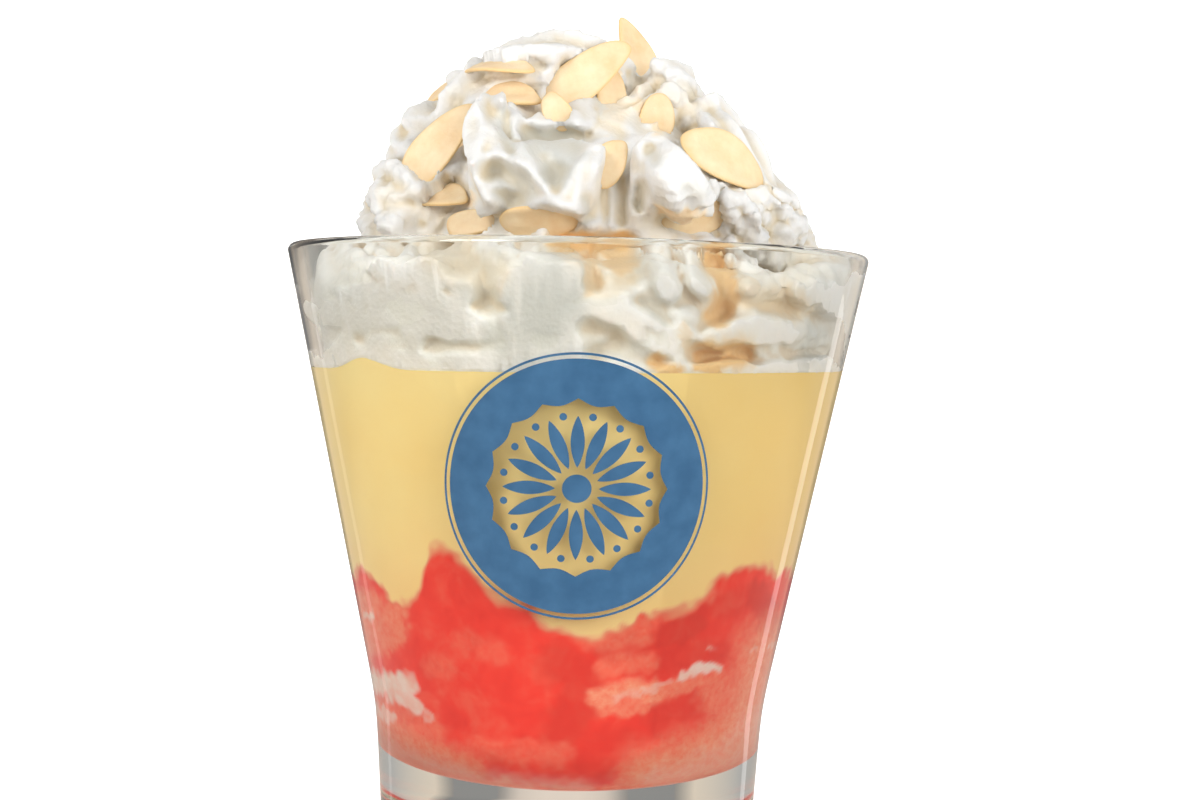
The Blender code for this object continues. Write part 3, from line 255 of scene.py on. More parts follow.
# Tints of the jelly's front by rows of the same kind: half width, strength and points
FILLING_TINTS = {
    "white": (
        (0.99, 0.8, -31.2, 35), (1.99, 1, -33, 24.9, -29, 24, -26.3, 23.5),
        (1.32, 0.9, -27.7, 22.7, -24.3, 20), (0.83, 0.6, -31, 21.1, -27.9, 17.9),
        (0.66, 0.5, -23.3, 19.7, -21.9, 18.1), (0.83, 1, 18.2, 25.9, 20.7, 27.3, 23.7, 27.7),
        (0.66, 0.5, 31.6, 31.8), (0.5, 0.5, 22.4, 31), (0.5, 0.4, 28.6, 31), (0.99, 0.6, 34.3, 36.4),
        (0.83, 0.3, 7.1, 21.8, 10.4, 23.2), (0.66, 0.35, 11.8, 24.2, 16.4, 25.2),
        (2.65, 0.25, -27.8, 12.2, -21.4, 9.1, -11.3, 6.8, 2.1, 5.9),
        (3.31, 0.2, 33, 22, 29, 15.5, 22.8, 10.8, 14.7, 7.7),
    ),
    "pale": (
        (1.82, 0.4, 5.8, 27.6, 9.6, 28.9, 12.7, 28.6),
        (2.15, 1, 5.1, 21.9, 7.8, 23.1, 10.4, 24.2, 13.8, 23.6), (1.66, 0.7, 5.8, 20.7, 11.8, 21.2),
        (1.66, 0.7, 14.3, 23.3, 20.1, 25.1), (7.29, 1, 33, 29.6, 32.2, 22, 29, 15.5, 22.8, 10.8, 14.7, 7.7),
        (3.97, 0.6, 23.8, 24.3, 27.8, 18.2),
        (1.49, 0.8, -21.4, 9.1, -11.3, 6.8, 2.1, 5.9, 15.5, 7.1, 23, 9.6),
        (2.48, 0.7, -30.8, 30.7, -31.9, 37.4), (2.15, 0.75, -28.2, 36.4, -27.8, 31.7),
        (3.97, 0.8, -30.9, 16.8, -24.8, 12.2, -16.4, 8.7), (2.65, 0.4, -28.3, 19.9, -21.5, 15.4),
        (2.32, 0.4, 0.7, 34.4, 4.6, 31.1, 11.5, 33.7), (1.99, 0.4, 13.1, 36.4, 21.4, 40.6),
        (1.99, 0.3, -14.8, 13.3, -1.4, 12.4), (2.32, 0.25, -16.8, 31, -11.7, 29.4),
        (1.99, 0.3, -21.7, 27.5, -20, 26.7),
    ),
    "deep": (
        (3.97, 0.5, -1.7, 27.3, 2.7, 25.4, 0.8, 20.6, -1.4, 15.3),
        (2.32, 0.5, 5.9, 29.8, 13.3, 31.7, 19.8, 34.9), (2.32, 0.6, 29.4, 40.4, 31.5, 35.1),
        (2.65, 0.3, 21.4, 37.9, 28.1, 39.4), (3.31, 0.3, 11.7, 28.3, 21.6, 30.2),
        (3.64, 0.3, -1.4, 12.8, 8.7, 13.9), (2.32, 0.25, 13.5, 19.6, 20.2, 21.7),
    ),
}

# Tints of the cream's front: painted shade, yellowish in its hollows and greyish on the glass and in deep
# folds.
# Rough is its froth
TINTS = {
    # Yellowish painted shade in the cream's hollows
    "warm_shade": (
        (2.82, 1, -3.2, 97.4, 1.8, 96.5, 7.4, 96.9), (2.32, 0.8, 1.8, 94, 2.2, 90.7),
        (2.65, 0.9, 5.1, 95.1, 7.8, 94.5), (2.32, 0.5, 8.2, 92.2, 3.6, 90.1),
        (2.65, 0.95, 21.7, 94.5, 23.7, 92.4, 24.1, 88.6, 22.9, 86.2), (3.15, 1, 20.4, 79.6, 26.3, 80.2),
        (1.32, 1, 18.8, 77.4, 22.4, 77.5), (1.82, 1, 13.3, 78.1, 15.2, 76.5),
        (3.15, 0.6, 27.1, 89.6, 35.4, 88.5), (1.66, 0.45, 32.3, 97.5, 36.5, 95.1),
        (0.99, 0.6, 17.3, 84.3, 18.8, 78.5), (2.98, 0.35, 2.4, 84.5, 9.7, 82.3, 3.8, 81.2),
        (3.31, 0.6, -19.7, 94.8, -16, 92.6, -14.6, 89), (0.99, 0.75, -16.5, 87.2, -12.2, 86.9),
        (1.49, 0.7, -23.2, 105.6, -17.9, 104.1), (1.16, 0.8, 5.4, 112.8, 6.5, 111.9),
        (1.16, 0.6, 4.6, 125.6, 4.1, 119), (1.49, 0.7, 9.5, 120.1, 12.4, 116.6),
        (1.32, 0.4, 17.7, 120.3, 15.4, 118.5), (0.99, 0.35, 10.2, 125.7, 10.4, 122.4),
        (1.66, 0.5, -14.5, 124.5, -8.7, 123.3), (1.32, 0.3, -9.5, 121, -7.8, 119.9),
        (1.16, 0.8, -9.9, 100.8, -2.9, 101.3), (1.16, 0.8, 13.2, 102.8, 22.1, 102),
        (1.66, 0.3, 27.1, 89.3, 20.3, 83.5), (1.32, 0.3, 3.5, 106.9, 6.8, 106.3),
        (0.99, 0.4, 40.2, 81.5, 41.3, 78.7), (1.32, 0.25, 25.9, 107.1, 30.4, 106.8),
        (1.99, 0.4, -18.6, 90.3, -13.2, 87.7), (2.32, 0.35, -30.6, 104.5, -23.1, 102),
        (2.65, 0.3, 36.5, 95.1, 31.7, 88.8), (1.99, 0.35, 9.3, 126, 12.7, 122.8, 17.7, 119.3),
        (2.32, 0.3, 3.3, 104.6, 13.2, 100.5), (3.97, 0.55, -22, 93.8, -18, 92.6, -14, 91.7),
        (2.65, 0.5, 9.4, 124.4, 4.9, 117.7), (2.32, 0.4, -7, 120.1, -10.3, 122),
    ),
    # Greyish painted shade where the cream lies on the glass and in deep folds
    "grey_shade": (
        (2.82, 0.6, -7.7, 113.7, -1.1, 113.8, -4.4, 109.3), (1.32, 0.45, -13.3, 118, -11.9, 112.8),
        (2.32, 0.45, -13.3, 108.8, -8.3, 105.6, -12.6, 104.9), (0.83, 0.5, 0.8, 104.8, 0.9, 100.9),
        (0.99, 0.4, 10, 106.7, 10, 103.7), (0.83, 0.5, 8, 125.6, 8.1, 122.4), (0.83, 0.5, 13.3, 123.8),
        (1.16, 0.3, 11.3, 112.6, 12.3, 111), (1.49, 0.3, 18, 106.6, 19.7, 107.2),
        (5.63, 0.38, -37.4, 86.4, -29.4, 84.4, -21.1, 81.8), (1.99, 0.4, -22.8, 87.5, -21.9, 84.2),
        (6.62, 0.9, -6.3, 85.9, -5, 87.9), (3.31, 0.7, -12.8, 82, -9.4, 80.4),
        (1.32, 0.5, 11.1, 88, 14.3, 85.7), (1.66, 0.3, 10.4, 80, 3.8, 80.5),
        (1.66, 0.35, 38.5, 84, 36.9, 80.3), (2.32, 0.5, -18.2, 89.6, -12.9, 86.8),
        (3.64, 0.35, -20.9, 92.8, -15.3, 91), (1.99, 0.3, 10.1, 94.5, 14.9, 88.4),
        (1.66, 0.35, 2.8, 124.9, 3.9, 119.3),
    ),
    "rough": (
        (4.31, 1, 18.1, 104.1, 26.4, 102.6, 33.1, 99.5), (3.31, 1, 30.9, 105.2, 34.7, 99.5),
        (4.31, 0.9, -32.3, 107.1, -32.9, 98.8, -29.6, 97.3), (3.31, 0.8, -25.5, 99.3, -16.4, 97.9),
        (3.31, 0.7, -22.7, 124.5, -13.7, 127.1, -7.1, 124.8),
        (3.31, 0.7, 14.3, 122.8, 19.4, 118.9, 22.8, 114.9), (4.31, 0.8, 26.6, 94.9, 38.3, 90.6),
        (2.98, 0.6, 35.2, 83.9, 40.2, 80.7), (2.65, 0.7, -36.2, 93.5, -22.9, 92.5),
    ),
}

# Rounds of smoothing of the strands
SMOOTH_ROUNDS = 6

# How hollow the cream counts where it is flat, and what the broad and the close hollows add to it; they show
# in how far smoothing by so many rounds moves the cream. The material paints hollower cream darker and more
# yellowish, as painted shade
HOLLOW_LEVEL = 0.48
BROAD_SHARE = 0.3
BROAD_ROUNDS = 60
CLOSE_SHARE = 2.0
CLOSE_ROUNDS = 8

# Room of the cream: the wall from this height up to just over the rim, and just into the top of the custard,
# which has this radius
ROOM_FROM = 70.0
ROOM_OVER_RIM = 1.5
ROOM_RADIUS = 41.0
INTO_CUSTARD = 0.25

# Almonds: points round a slice, rings from its middle to its rim, half its thickness, how uneven its outline
# and its face are, how much wider its blunt end is, and the share of it from which on its rim darkens
FLAKE_STEPS = 48
FLAKE_RINGS = 12
FLAKE_HALF = (0.36, 0.44)
FLAKE_UNEVEN = 0.018
FLAKE_GRAIN = 0.06
FLAKE_TAPER = 0.22
FLAKE_RIM = 0.8

# Printed medallion on the front of the glass: height and shift to the right of its middle, its radius and how
# far it stands off the wall; the width of its outer ring and how far within it the scalloped one starts; the
# inner radius, depth and number of the scallops; the radius of the hub; the number of the petals, their
# distance from the middle, length and width; and the distance and radius of the dots
PRINT_HEIGHT = 60.7
PRINT_SHIFT = 1.0
PRINT_RADIUS = 19.8
PRINT_GAP = 0.03
RING_WIDTH = 0.35
RING_STEP = 0.9
SCALLOPS = (13.2, 0.9, 16)
HUB_RADIUS = 2.1
PETALS = 16
PETAL = (6.9, 7.6, 2.0)
DOT = (10.7, 0.55)

# Floor in metres: half its width, its front, where it starts to rise, the radius of that curve and its top
FLOOR_HALF = 2.0
FLOOR_FRONT = -1.5
FLOOR_BACK = 0.5
FLOOR_CURVE = 0.4
FLOOR_TOP = 2.2

# Glow of the floor by its distance from the glass, which GLOW_SCALE brings from metres to the ramp's range
GLOW_SCALE = 0.4
FLOOR_GLOW = ((0.3, 0.5), (0.6, 1.0))

# White sphere round it all that only the camera sees, in metres
BACKDROP_RADIUS = 6.0

# Brightness of the surroundings from front to back and from below to above, of which the brighter counts
SKY_BACK = (
    (0.0, 0.25), (0.62, 0.3), (0.8, 0.42), (0.93, (0.74, 0.64, 0.53)), (0.955, 0.2), (0.978, 0.2),
    (0.986, (0.82, 0.70, 0.61)), (0.991, (0.80, 0.69, 0.61)), (0.996, (0.58, 0.57, 0.53)),
)
SKY_HIGH = (
    (0.0, (0.74, 0.66, 0.57)), (0.36, (0.70, 0.63, 0.55)), (0.395, 0.26), (0.52, 0.16), (0.7, 0.24),
    (1.0, 0.36),
)

# Soft lights: name, place and size in metres, power, colour and whether they show in reflections
WHITE = (1.0, 1.0, 1.0)
LIGHTS = (
    ("key", (-0.47, -0.54, 0.52), (0.36, 0.36), 4.0, (1.0, 0.99, 0.97), True),
    ("fill", (0.50, -0.60, 0.26), (0.6, 0.5), 4.5, (0.98, 0.99, 1.0), False),
    ("back", (0.10, 0.25, 0.85), (0.6, 0.6), 0.5, WHITE, False),
    ("far_side", (0.05, 0.80, 0.30), (0.7, 0.5), 2.7, (1.0, 0.99, 0.97), False),
    ("left_strip", (-0.48, 0.43, -0.22), (0.05, 0.5), 0.03, WHITE, True),
    ("right_strip", (0.48, 0.43, -0.22), (0.08, 0.5), 0.12, WHITE, True),
)
LAMP_AIM = Vector((0, 0, 0.08))


def polar(azimuth, radius, height):
    angle = math.radians(azimuth)
    return Vector((radius * math.sin(angle), -radius * math.cos(angle), height)) * MM


def eased(share):
    return share * share * (3 - 2 * share)


def outer_radius(height):
    foot = FOOT_RADIUS + FOOT_FLARE * height
    wall = RIM_RADIUS - WALL_FLARE * (RIM_HEIGHT - height)
    return foot + TURN_RADIUS * math.log1p(math.exp((wall - foot) / TURN_RADIUS))


def inner_radius(height):
    wall = WALL_AT_RIM + WALL_GROWTH * (RIM_HEIGHT - height)
    rise = max(CORNER_TOP - height, 0.0)
    corner = math.sqrt(max(CORNER_RADIUS**2 - rise**2, 0.0))
    return outer_radius(height) - wall - CORNER_RADIUS + corner


def jelly_top(azimuth, share):
    keys = JELLY_EDGE + ((JELLY_EDGE[0][0] + 360, JELLY_EDGE[0][1]),)
    azimuth = (azimuth + 180) % 360 - 180
    after = next(i for i, key in enumerate(keys) if key[0] > azimuth)
    (start, low), (end, high) = keys[after - 1], keys[after]
    ease = (1 - math.cos(math.pi * (azimuth - start) / (end - start))) / 2
    edge = low + (high - low) * ease
    return JELLY_MIDDLE + (edge - JELLY_MIDDLE) * share**2


def custard_top(azimuth, share):
    where, rise, width = CUSTARD_PEAK
    away = (azimuth - where + 180) % 360 - 180
    peak = rise * math.exp(-((away / width) ** 2)) * share**8
    return CUSTARD_LEVEL + CUSTARD_LEAN * share * math.sin(math.radians(azimuth)) + peak


# Materials


def feed(tree, socket, value):
    """Links a socket to another one, or sets it to a number or a colour."""
    if isinstance(value, bpy.types.NodeSocket):
        tree.links.new(value, socket)
    elif socket.type == "RGBA":
        socket.default_value = (*value, 1.0)
    else:
        socket.default_value = value


def add_node(tree, kind, inputs=(), **settings):
    """A new node with its settings and with its sockets, by name or by place, fed with values."""
    node = tree.nodes.new("ShaderNode" + kind)
    for name, value in settings.items():
        setattr(node, name, value)
    for socket, value in dict(inputs).items():
        feed(tree, node.inputs[socket], value)
    return node


def shader_of(name, **values):
    """A new material, its node tree and its main shader with the given socket values."""
    made = bpy.data.materials.new(name)
    made.use_nodes = True
    tree = made.node_tree
    shader = tree.nodes["Principled BSDF"]
    for key, value in values.items():
        feed(tree, shader.inputs[key.replace("_", " ")], value)
    return made, tree, shader


def object_point(tree):
    return add_node(tree, "TexCoord").outputs["Object"]


def part_of(tree, point, axis):
    return add_node(tree, "SeparateXYZ", {0: point}).outputs[axis]


def noise_value(tree, point, size, detail=2.0, roughness=0.5, distortion=0.0):
    """Smooth noise whose features are about size millimetres across."""
    inputs = {"Vector": point, "Scale": 1 / (size * MM), "Detail": detail}
    inputs |= {"Roughness": roughness, "Distortion": distortion}
    return add_node(tree, "TexNoise", inputs).outputs["Fac"]


def cell_distance(tree, point, size):
    return add_node(tree, "TexVoronoi", {"Vector": point, "Scale": 1 / (size * MM)}).outputs["Distance"]


def ramp(tree, value, stops):
    """A value turned into colours, each stop being its place and a colour or a grey."""
    node = add_node(tree, "ValToRGB", {"Fac": value})
    points = node.color_ramp.elements
    while len(points) < len(stops):
        points.new(0.5)
    for point, (place, colour) in zip(points, stops):
        point.position = place
        point.color = (*(colour if isinstance(colour, tuple) else (colour,) * 3), 1.0)
    return node.outputs["Color"]


def mix_colour(tree, share, first, second):
    return add_node(tree, "Mix", {0: share, 6: first, 7: second}, data_type="RGBA").outputs[2]


def calculate(tree, operation, *values):
    return add_node(tree, "Math", enumerate(values), operation=operation).outputs[0]


def mask(tree, name):
    """A value that the mesh stores at each point."""
    return add_node(tree, "Attribute", attribute_name=name).outputs["Fac"]


def tinted(tree, name, shade, colour):
    return mix_colour(tree, mask(tree, name), shade, colour)


def bump(tree, shader, height, strength, distance):
    inputs = {"Strength": strength, "Distance": distance * MM, "Height": height}
    feed(tree, shader.inputs["Normal"], add_node(tree, "Bump", inputs).outputs["Normal"])


def glass_material():
    made, tree, shader = shader_of(
        "clear_glass", Base_Color=(0.935, 0.94, 0.905), Roughness=0.0, IOR=1.5, Transmission_Weight=1.0
    )
    bump(tree, shader, noise_value(tree, object_point(tree), 14.0, 1.0), 0.12, 0.6)
    return made


def jelly_colour(tree, point):
    """Red, deeper and paler in places, and near white where cream or sponge lies against the glass."""
    broad = noise_value(tree, point, 5.0, 4.0, 0.6, 0.4)
    fine = noise_value(tree, point, 1.1, 4.0, 0.7)
    milky = noise_value(tree, point, 2.5, 3.0)
    reds = ((0.3, (0.85, 0.024, 0.014)), (0.5, (0.93, 0.04, 0.022)), (0.7, (0.95, 0.10, 0.055)))
    pinks = ((0.3, (0.92, 0.20, 0.105)), (0.7, (0.94, 0.40, 0.24)))
    whites = ((0.3, (0.88, 0.58, 0.47)), (0.6, (0.88, 0.75, 0.66)))
    body = tinted(tree, "deep", ramp(tree, broad, reds), (0.62, 0.02, 0.01))
    body = tinted(tree, "pale", body, ramp(tree, fine, pinks))
    return tinted(tree, "white", body, ramp(tree, milky, whites))


def custard_colour(tree, point):
    """Yellow, and a little deeper in colour towards the right."""
    yellows = ((0.3, (0.96, 0.73, 0.29)), (0.7, (0.98, 0.80, 0.36)))
    body = ramp(tree, noise_value(tree, point, 20.0, 3.0), yellows)
    right = calculate(tree, "MULTIPLY", part_of(tree, point, "X"), 12.0)
    return mix_colour(tree, right, body, (0.97, 0.67, 0.22))


def filling_material(name, roughness):
    """Custard above an uneven, blurred edge and jelly with patches of sponge below it."""
    made, tree, shader = shader_of(name, Roughness=roughness, IOR=1.38)
    point = object_point(tree)
    edge = mask(tree, "edge")
    blurred = ramp(tree, edge, ((0.3, (0.88, 0.20, 0.11)), (0.7, (0.90, 0.46, 0.23))))
    near = calculate(tree, "MINIMUM", calculate(tree, "MULTIPLY", edge, 3.0), 1.0)
    low = mix_colour(tree, near, jelly_colour(tree, point), blurred)
    rest = calculate(tree, "MAXIMUM", calculate(tree, "MULTIPLY_ADD", edge, 2.5, -1.5), 0.0)
    shade = mix_colour(tree, rest, low, custard_colour(tree, point))
    feed(tree, shader.inputs["Base Color"], shade)
    bump(tree, shader, noise_value(tree, point, 1.3, 3.0), 0.15, 0.2)
    return made


def cream_material():
    """Off-white cream with painted shade, yellowish in its hollows and greyish on the glass and in deep
    folds, and painted light that makes it lighter below the rim, where it shows through the glass.
    """
    made, tree, shader = shader_of(
        "whipped_cream", Roughness=0.45, IOR=1.42, Subsurface_Weight=0.15,
        Subsurface_Radius=(1.0, 0.85, 0.7), Subsurface_Scale=1.5 * MM,
    )
    point = object_point(tree)
    tone = calculate(tree, "MULTIPLY_ADD", noise_value(tree, point, 8.0, 3.0), 0.3, -0.15)
    turn = calculate(tree, "ADD", mask(tree, "hollow"), tone)
    # Painted shade: the hollower the cream, the further it goes along the stops below, to a darker, yellowish
    # tan
    over = ((0.2, (0.715, 0.705, 0.685)), (0.5, (0.69, 0.655, 0.59)), (0.85, (0.64, 0.55, 0.40)))
    # Painted light: a lighter copy of the stops above, which the cream takes below the rim, where it shows
    # through the glass
    inside = ((0.2, (0.88, 0.865, 0.83)), (0.5, (0.83, 0.80, 0.74)), (0.85, (0.73, 0.63, 0.50)))
    yellow_shade_stops = ((0.25, (0.85, 0.77, 0.62)), (0.6, (0.85, 0.68, 0.45)), (1.0, (0.83, 0.56, 0.27)))
    # Share of that painted light, from none 2.5 mm over the rim to all of it 2.5 mm below the rim
    slope = 0.2 / MM
    level = part_of(tree, point, "Z")
    depth = calculate(tree, "MULTIPLY_ADD", level, -slope, slope * RIM_HEIGHT * MM + 0.5)
    depth = calculate(tree, "MINIMUM", calculate(tree, "MAXIMUM", depth, 0.0), 1.0)
    shade = mix_colour(tree, depth, ramp(tree, turn, over), ramp(tree, turn, inside))
    # Painted shade: yellowish in the hollows, then greyish where the cream lies on the glass and in deep
    # folds
    shade = tinted(tree, "warm_shade", shade, ramp(tree, mask(tree, "warm_shade"), yellow_shade_stops))
    shade = tinted(tree, "grey_shade", shade, (0.55, 0.555, 0.51))
    feed(tree, shader.inputs["Base Color"], shade)
    fine = noise_value(tree, point, 0.9, 3.0, 0.6)
    bubbles = calculate(tree, "MULTIPLY", cell_distance(tree, point, 0.8), 0.5)
    bump(tree, shader, calculate(tree, "ADD", fine, bubbles), 0.45, 0.25)
    return made


def almond_material():
    made, tree, shader = shader_of(
        "almond", Roughness=0.5, IOR=1.45, Subsurface_Weight=0.12,
        Subsurface_Radius=(1.0, 0.7, 0.4), Subsurface_Scale=1.2 * MM,
    )
    point = object_point(tree)
    tone = noise_value(tree, point, 4.0, 4.0, 0.6)
    body = ramp(tree, tone, ((0.3, (0.76, 0.54, 0.30)), (0.7, (0.84, 0.68, 0.45))))
    feed(tree, shader.inputs["Base Color"], tinted(tree, "rim", body, (0.78, 0.54, 0.26)))
    bump(tree, shader, noise_value(tree, point, 0.8, 3.0, 0.6), 0.3, 0.2)
    return made


def print_material():
    made, tree, shader = shader_of("blue_print", Roughness=0.4)
    worn = noise_value(tree, object_point(tree), 3.0, 3.0)
    blues = ((0.3, (0.012, 0.074, 0.165)), (0.7, (0.026, 0.104, 0.21)))
    feed(tree, shader.inputs["Base Color"], ramp(tree, worn, blues))
    return made


# Meshes


def add_object(name, data):
    made = bpy.data.objects.new(name, data)
    bpy.context.scene.collection.objects.link(made)
    return made


def mesh_object(name, points, faces, material=None):
    mesh = bpy.data.meshes.new(name)
    mesh.from_pydata([tuple(point) for point in points], [], faces)
    mesh.validate()
    mesh.update()
    mesh.shade_smooth()
    if material:
        mesh.materials.append(material)
    return add_object(name, mesh)


def values_of(collection, name, width=3, kind=np.float32):
    values = np.empty(len(collection) * width, kind)
    collection.foreach_get(name, values)
    return values.reshape(-1, width)


def points_of(obj):
    return values_of(obj.data.vertices, "co").astype(float) / MM


def normals_of(obj):
    return values_of(obj.data.vertices, "normal").astype(float)


def set_points(obj, points):
    obj.data.vertices.foreach_set("co", (points * MM).astype(np.float32).ravel())
    obj.data.update()


def store(obj, name, values):
    attribute = obj.data.attributes.new(name, "FLOAT", "POINT")
    attribute.data.foreach_set("value", np.asarray(values, np.float32))


def side_faces(rows, steps):
    """Faces between rings of steps points each."""
    faces = []
    for row in range(rows - 1):
        for i in range(steps):
            j = (i + 1) % steps
            a, b = row * steps, (row + 1) * steps
            faces.append((a + i, a + j, b + j, b + i))
    return faces


def ring_faces(rows, steps):
    """Faces of a closed shell of rings, which the points of its two poles follow."""
    faces = [(a, d, c, b) for a, b, c, d in side_faces(rows, steps)]
    first, last = rows * steps, rows * steps + 1
    for i in range(steps):
        j = (i + 1) % steps
        faces.append((first, i, j))
        faces.append(((rows - 1) * steps + j, (rows - 1) * steps + i, last))
    return faces


def arc(centre, middle, radius, start, end, count):
    """Points of radius and height along an arc from one angle to another."""
    angles = np.radians(np.linspace(start, end, count))
    return [(centre + radius * math.cos(a), middle + radius * math.sin(a)) for a in angles]


def glass_profile():
    """Radius and height from the floor's middle up the inside, over the lip and down to the underside."""
    lip = WALL_AT_RIM / 2
    lip_level = RIM_HEIGHT - lip
    corner = inner_radius(CORNER_TOP) - CORNER_RADIUS
    foot = outer_radius(FOOT_ROUNDING) - FOOT_ROUNDING
    under, over = BEND
    points = [(corner * share, FLOOR_HEIGHT) for share in (0.3, 0.6, 0.85)]
    points += arc(corner, CORNER_TOP, CORNER_RADIUS, -90, -4, 24)
    points += [(inner_radius(z), z) for z in np.linspace(CORNER_TOP, under, 13)]
    points += [(inner_radius(z), z) for z in np.linspace(over, lip_level, 12)]
    points += arc(outer_radius(lip_level) - lip, lip_level, lip, 170, 10, 13)
    points += [(outer_radius(z), z) for z in np.linspace(lip_level, over, 12)]
    points += [(outer_radius(z), z) for z in np.linspace(under, FOOT_ROUNDING, 18)]
    points += arc(foot, FOOT_ROUNDING, FOOT_ROUNDING, -10, -90, 9)
    return points + [(foot * share, 0.0) for share in (0.85, 0.5)]


def glass_piece(material):
    profile = glass_profile()
    points = [polar(360 * i / GLASS_STEPS, r, z) for r, z in profile for i in range(GLASS_STEPS)]
    points += [Vector((0, 0, FLOOR_HEIGHT * MM)), Vector((0, 0, 0))]
    glass = mesh_object("tumbler", points, ring_faces(len(profile), GLASS_STEPS), material)
    glass.visible_shadow = False
    return glass


def filling_radius(height):
    """Just into the wall, and at the rounded corner just into the floor as well."""
    rise = max(CORNER_TOP - height, 0.0)
    corner = math.sqrt(max((CORNER_RADIUS + INTO_GLASS) ** 2 - rise**2, 0.0)) - CORNER_RADIUS
    return inner_radius(max(height, CORNER_TOP)) + corner


def filling_piece(name, top, bottom, material):
    """A filling between two surfaces, each a height by azimuth and share of the radius."""
    angles = [360 * i / FILLING_STEPS for i in range(FILLING_STEPS)]
    highest = max(top(a, 1) for a in angles)
    lowest = min(bottom(a, 1) for a in angles)
    round_end = lowest < CORNER_TOP
    rows = round((highest - max(lowest, CORNER_TOP)) / FILLING_RISE)
    ends = [(top(a, 1), CORNER_TOP if round_end else bottom(a, 1)) for a in angles]
    rings = [[(share, top(a, share)) for a in angles] for share in FILLING_SHARES]
    for row in range(rows + 1):
        part = row / rows
        rings.append([(1, high * (1 - part) + low * part) for high, low in ends])
    if round_end:
        for turn in np.radians(np.linspace(0, 84, 16)[1:]):
            level = CORNER_TOP - (CORNER_RADIUS + INTO_GLASS) * math.sin(turn)
            rings.append([(1, level)] * FILLING_STEPS)
    rings += [[(share, bottom(a, share)) for a in angles] for share in reversed(FILLING_SHARES)]
    points = []
    for ring in rings:
        points += [polar(a, share * filling_radius(z), z) for a, (share, z) in zip(angles, ring)]
    points += [Vector((0, 0, top(0, 0) * MM)), Vector((0, 0, bottom(0, 0) * MM))]
    faces = [face[::-1] for face in ring_faces(len(rings), FILLING_STEPS)]
    piece = mesh_object(name, points, faces, material)
    piece.data.set_sharp_from_angle(angle=math.radians(SHARP_EDGE))
    return piece


def noise_at(points, size, shift):
    """Noise from about -1 to 1 at each point, with features about size millimetres across."""
    offset = NOISE_SHIFT * shift
    return np.array([noise.noise(Vector(p) / size + offset) for p in points])


def filling_masks(filling):
    """Where a filling is jelly or custard, deep or pale, or shows cream and sponge through the glass."""
    points = points_of(filling)
    azimuth = np.degrees(np.arctan2(points[:, 0], -points[:, 1]))
    top = np.array([jelly_top(a, 1) for a in azimuth])
    coarse, fine = noise_at(points, 5.0, 3), noise_at(points, 1.7, 4)
    over = points[:, 2] - top + coarse * 1.8 + fine * 1.0
    smear = SMEAR_SOFTNESS * (1 + 0.8 * noise_at(points, 9.0, 6))
    store(filling, "edge", np.clip(0.5 + over / (2 * smear), 0, 1))
    masks = tint_masks(points, FILLING_TINTS)
    behind = np.clip((points[:, 1] + 4) / 8, 0, 1)
    spots = np.clip((noise_at(points, 6.0, 5) + 0.3 * fine - 0.22) * 4, 0, 1) * behind
    masks["pale"] = np.maximum(masks["pale"], spots)
    masks["white"] = np.maximum(masks["white"], np.clip(spots * 3 - 2.2, 0, 1))
    for kind, values in masks.items():
        store(filling, kind, values)


# Whipped cream


def star_section(name, ridges, depth, steps):
    data = bpy.data.curves.new(name, "CURVE")
    data.dimensions = "2D"
    spline = data.splines.new("POLY")
    count = ridges * steps
    spline.points.add(count - 1)
    spline.use_cyclic_u = True
    for i, point in enumerate(spline.points):
        angle = math.tau * i / count
        radius = 1 - depth * abs(math.sin(ridges * angle / 2))
        point.co = (radius * math.cos(angle), radius * math.sin(angle), 0, 1)
    return add_object(name, data)


def strand(section, twist, turn, points):
    data = bpy.data.curves.new("strand", "CURVE")
    data.dimensions = "3D"
    data.bevel_mode = "OBJECT"
    data.bevel_object = section
    data.use_fill_caps = True
    spline = data.splines.new("NURBS")
    spline.points.add(len(points) - 1)
    spline.order_u = 4
    spline.use_endpoint_u = True
    spline.resolution_u = 6
    places = [polar(azimuth, radius, height) for azimuth, radius, height, _ in points]
    run = 0.0
    for i, point in enumerate(spline.points):
        run += (places[i] - places[i - 1]).length / MM if i else 0.0
        point.co = (*places[i], 1)
        point.radius = points[i][3] * MM
        point.tilt = math.radians(turn + twist * run)
    return add_object("strand", data)


def heap_radius(height):
    share = max(0.0, min(1.0, (height - DOME_HEIGHT) / (DOME_TOP - DOME_HEIGHT)))
    dome = DOME_RADIUS * math.sqrt(1 - share**2)
    spread = max(0.0, min(1.0, (RIM_HEIGHT - height) / GROOVE_DEPTH))
    return dome + (inner_radius(min(height, RIM_HEIGHT)) - dome) * spread


def swirl(count, turns, start, height, thickness, chance):
    points = []
    for i in range(count):
        share = i / (count - 1)
        level, thick = (a + (b - a) * share for a, b in (height, thickness))
        level += chance.uniform(-1, 1)
        thick *= chance.uniform(0.88, 1.12)
        radius = heap_radius(level) - thick + chance.uniform(-1, 1)
        points.append((start + 360 * turns * share, radius, level, thick))
    return points


def wall_ring(chance):
    first, last = WALL_RING_FRONT_SPAN
    points = []
    for i in range(WALL_RING_POINTS + 1):
        azimuth = 360 * i / WALL_RING_POINTS + WALL_RING_START
        radius, level, thick = WALL_RING_FRONT if first < azimuth < last else WALL_RING
        uneven = chance.uniform(-RING_UNEVEN, RING_UNEVEN)
        points.append((azimuth, radius + uneven / 2, level + uneven, thick + abs(uneven)))
    return points


def low_ring(chance):
    radius, level, thick = LOW_RING
    points = []
    for azimuth in np.linspace(*LOW_RING_SPAN, LOW_RING_POINTS):
        points.append((azimuth, radius, level + chance.uniform(-RING_UNEVEN, RING_UNEVEN), thick))
    return points


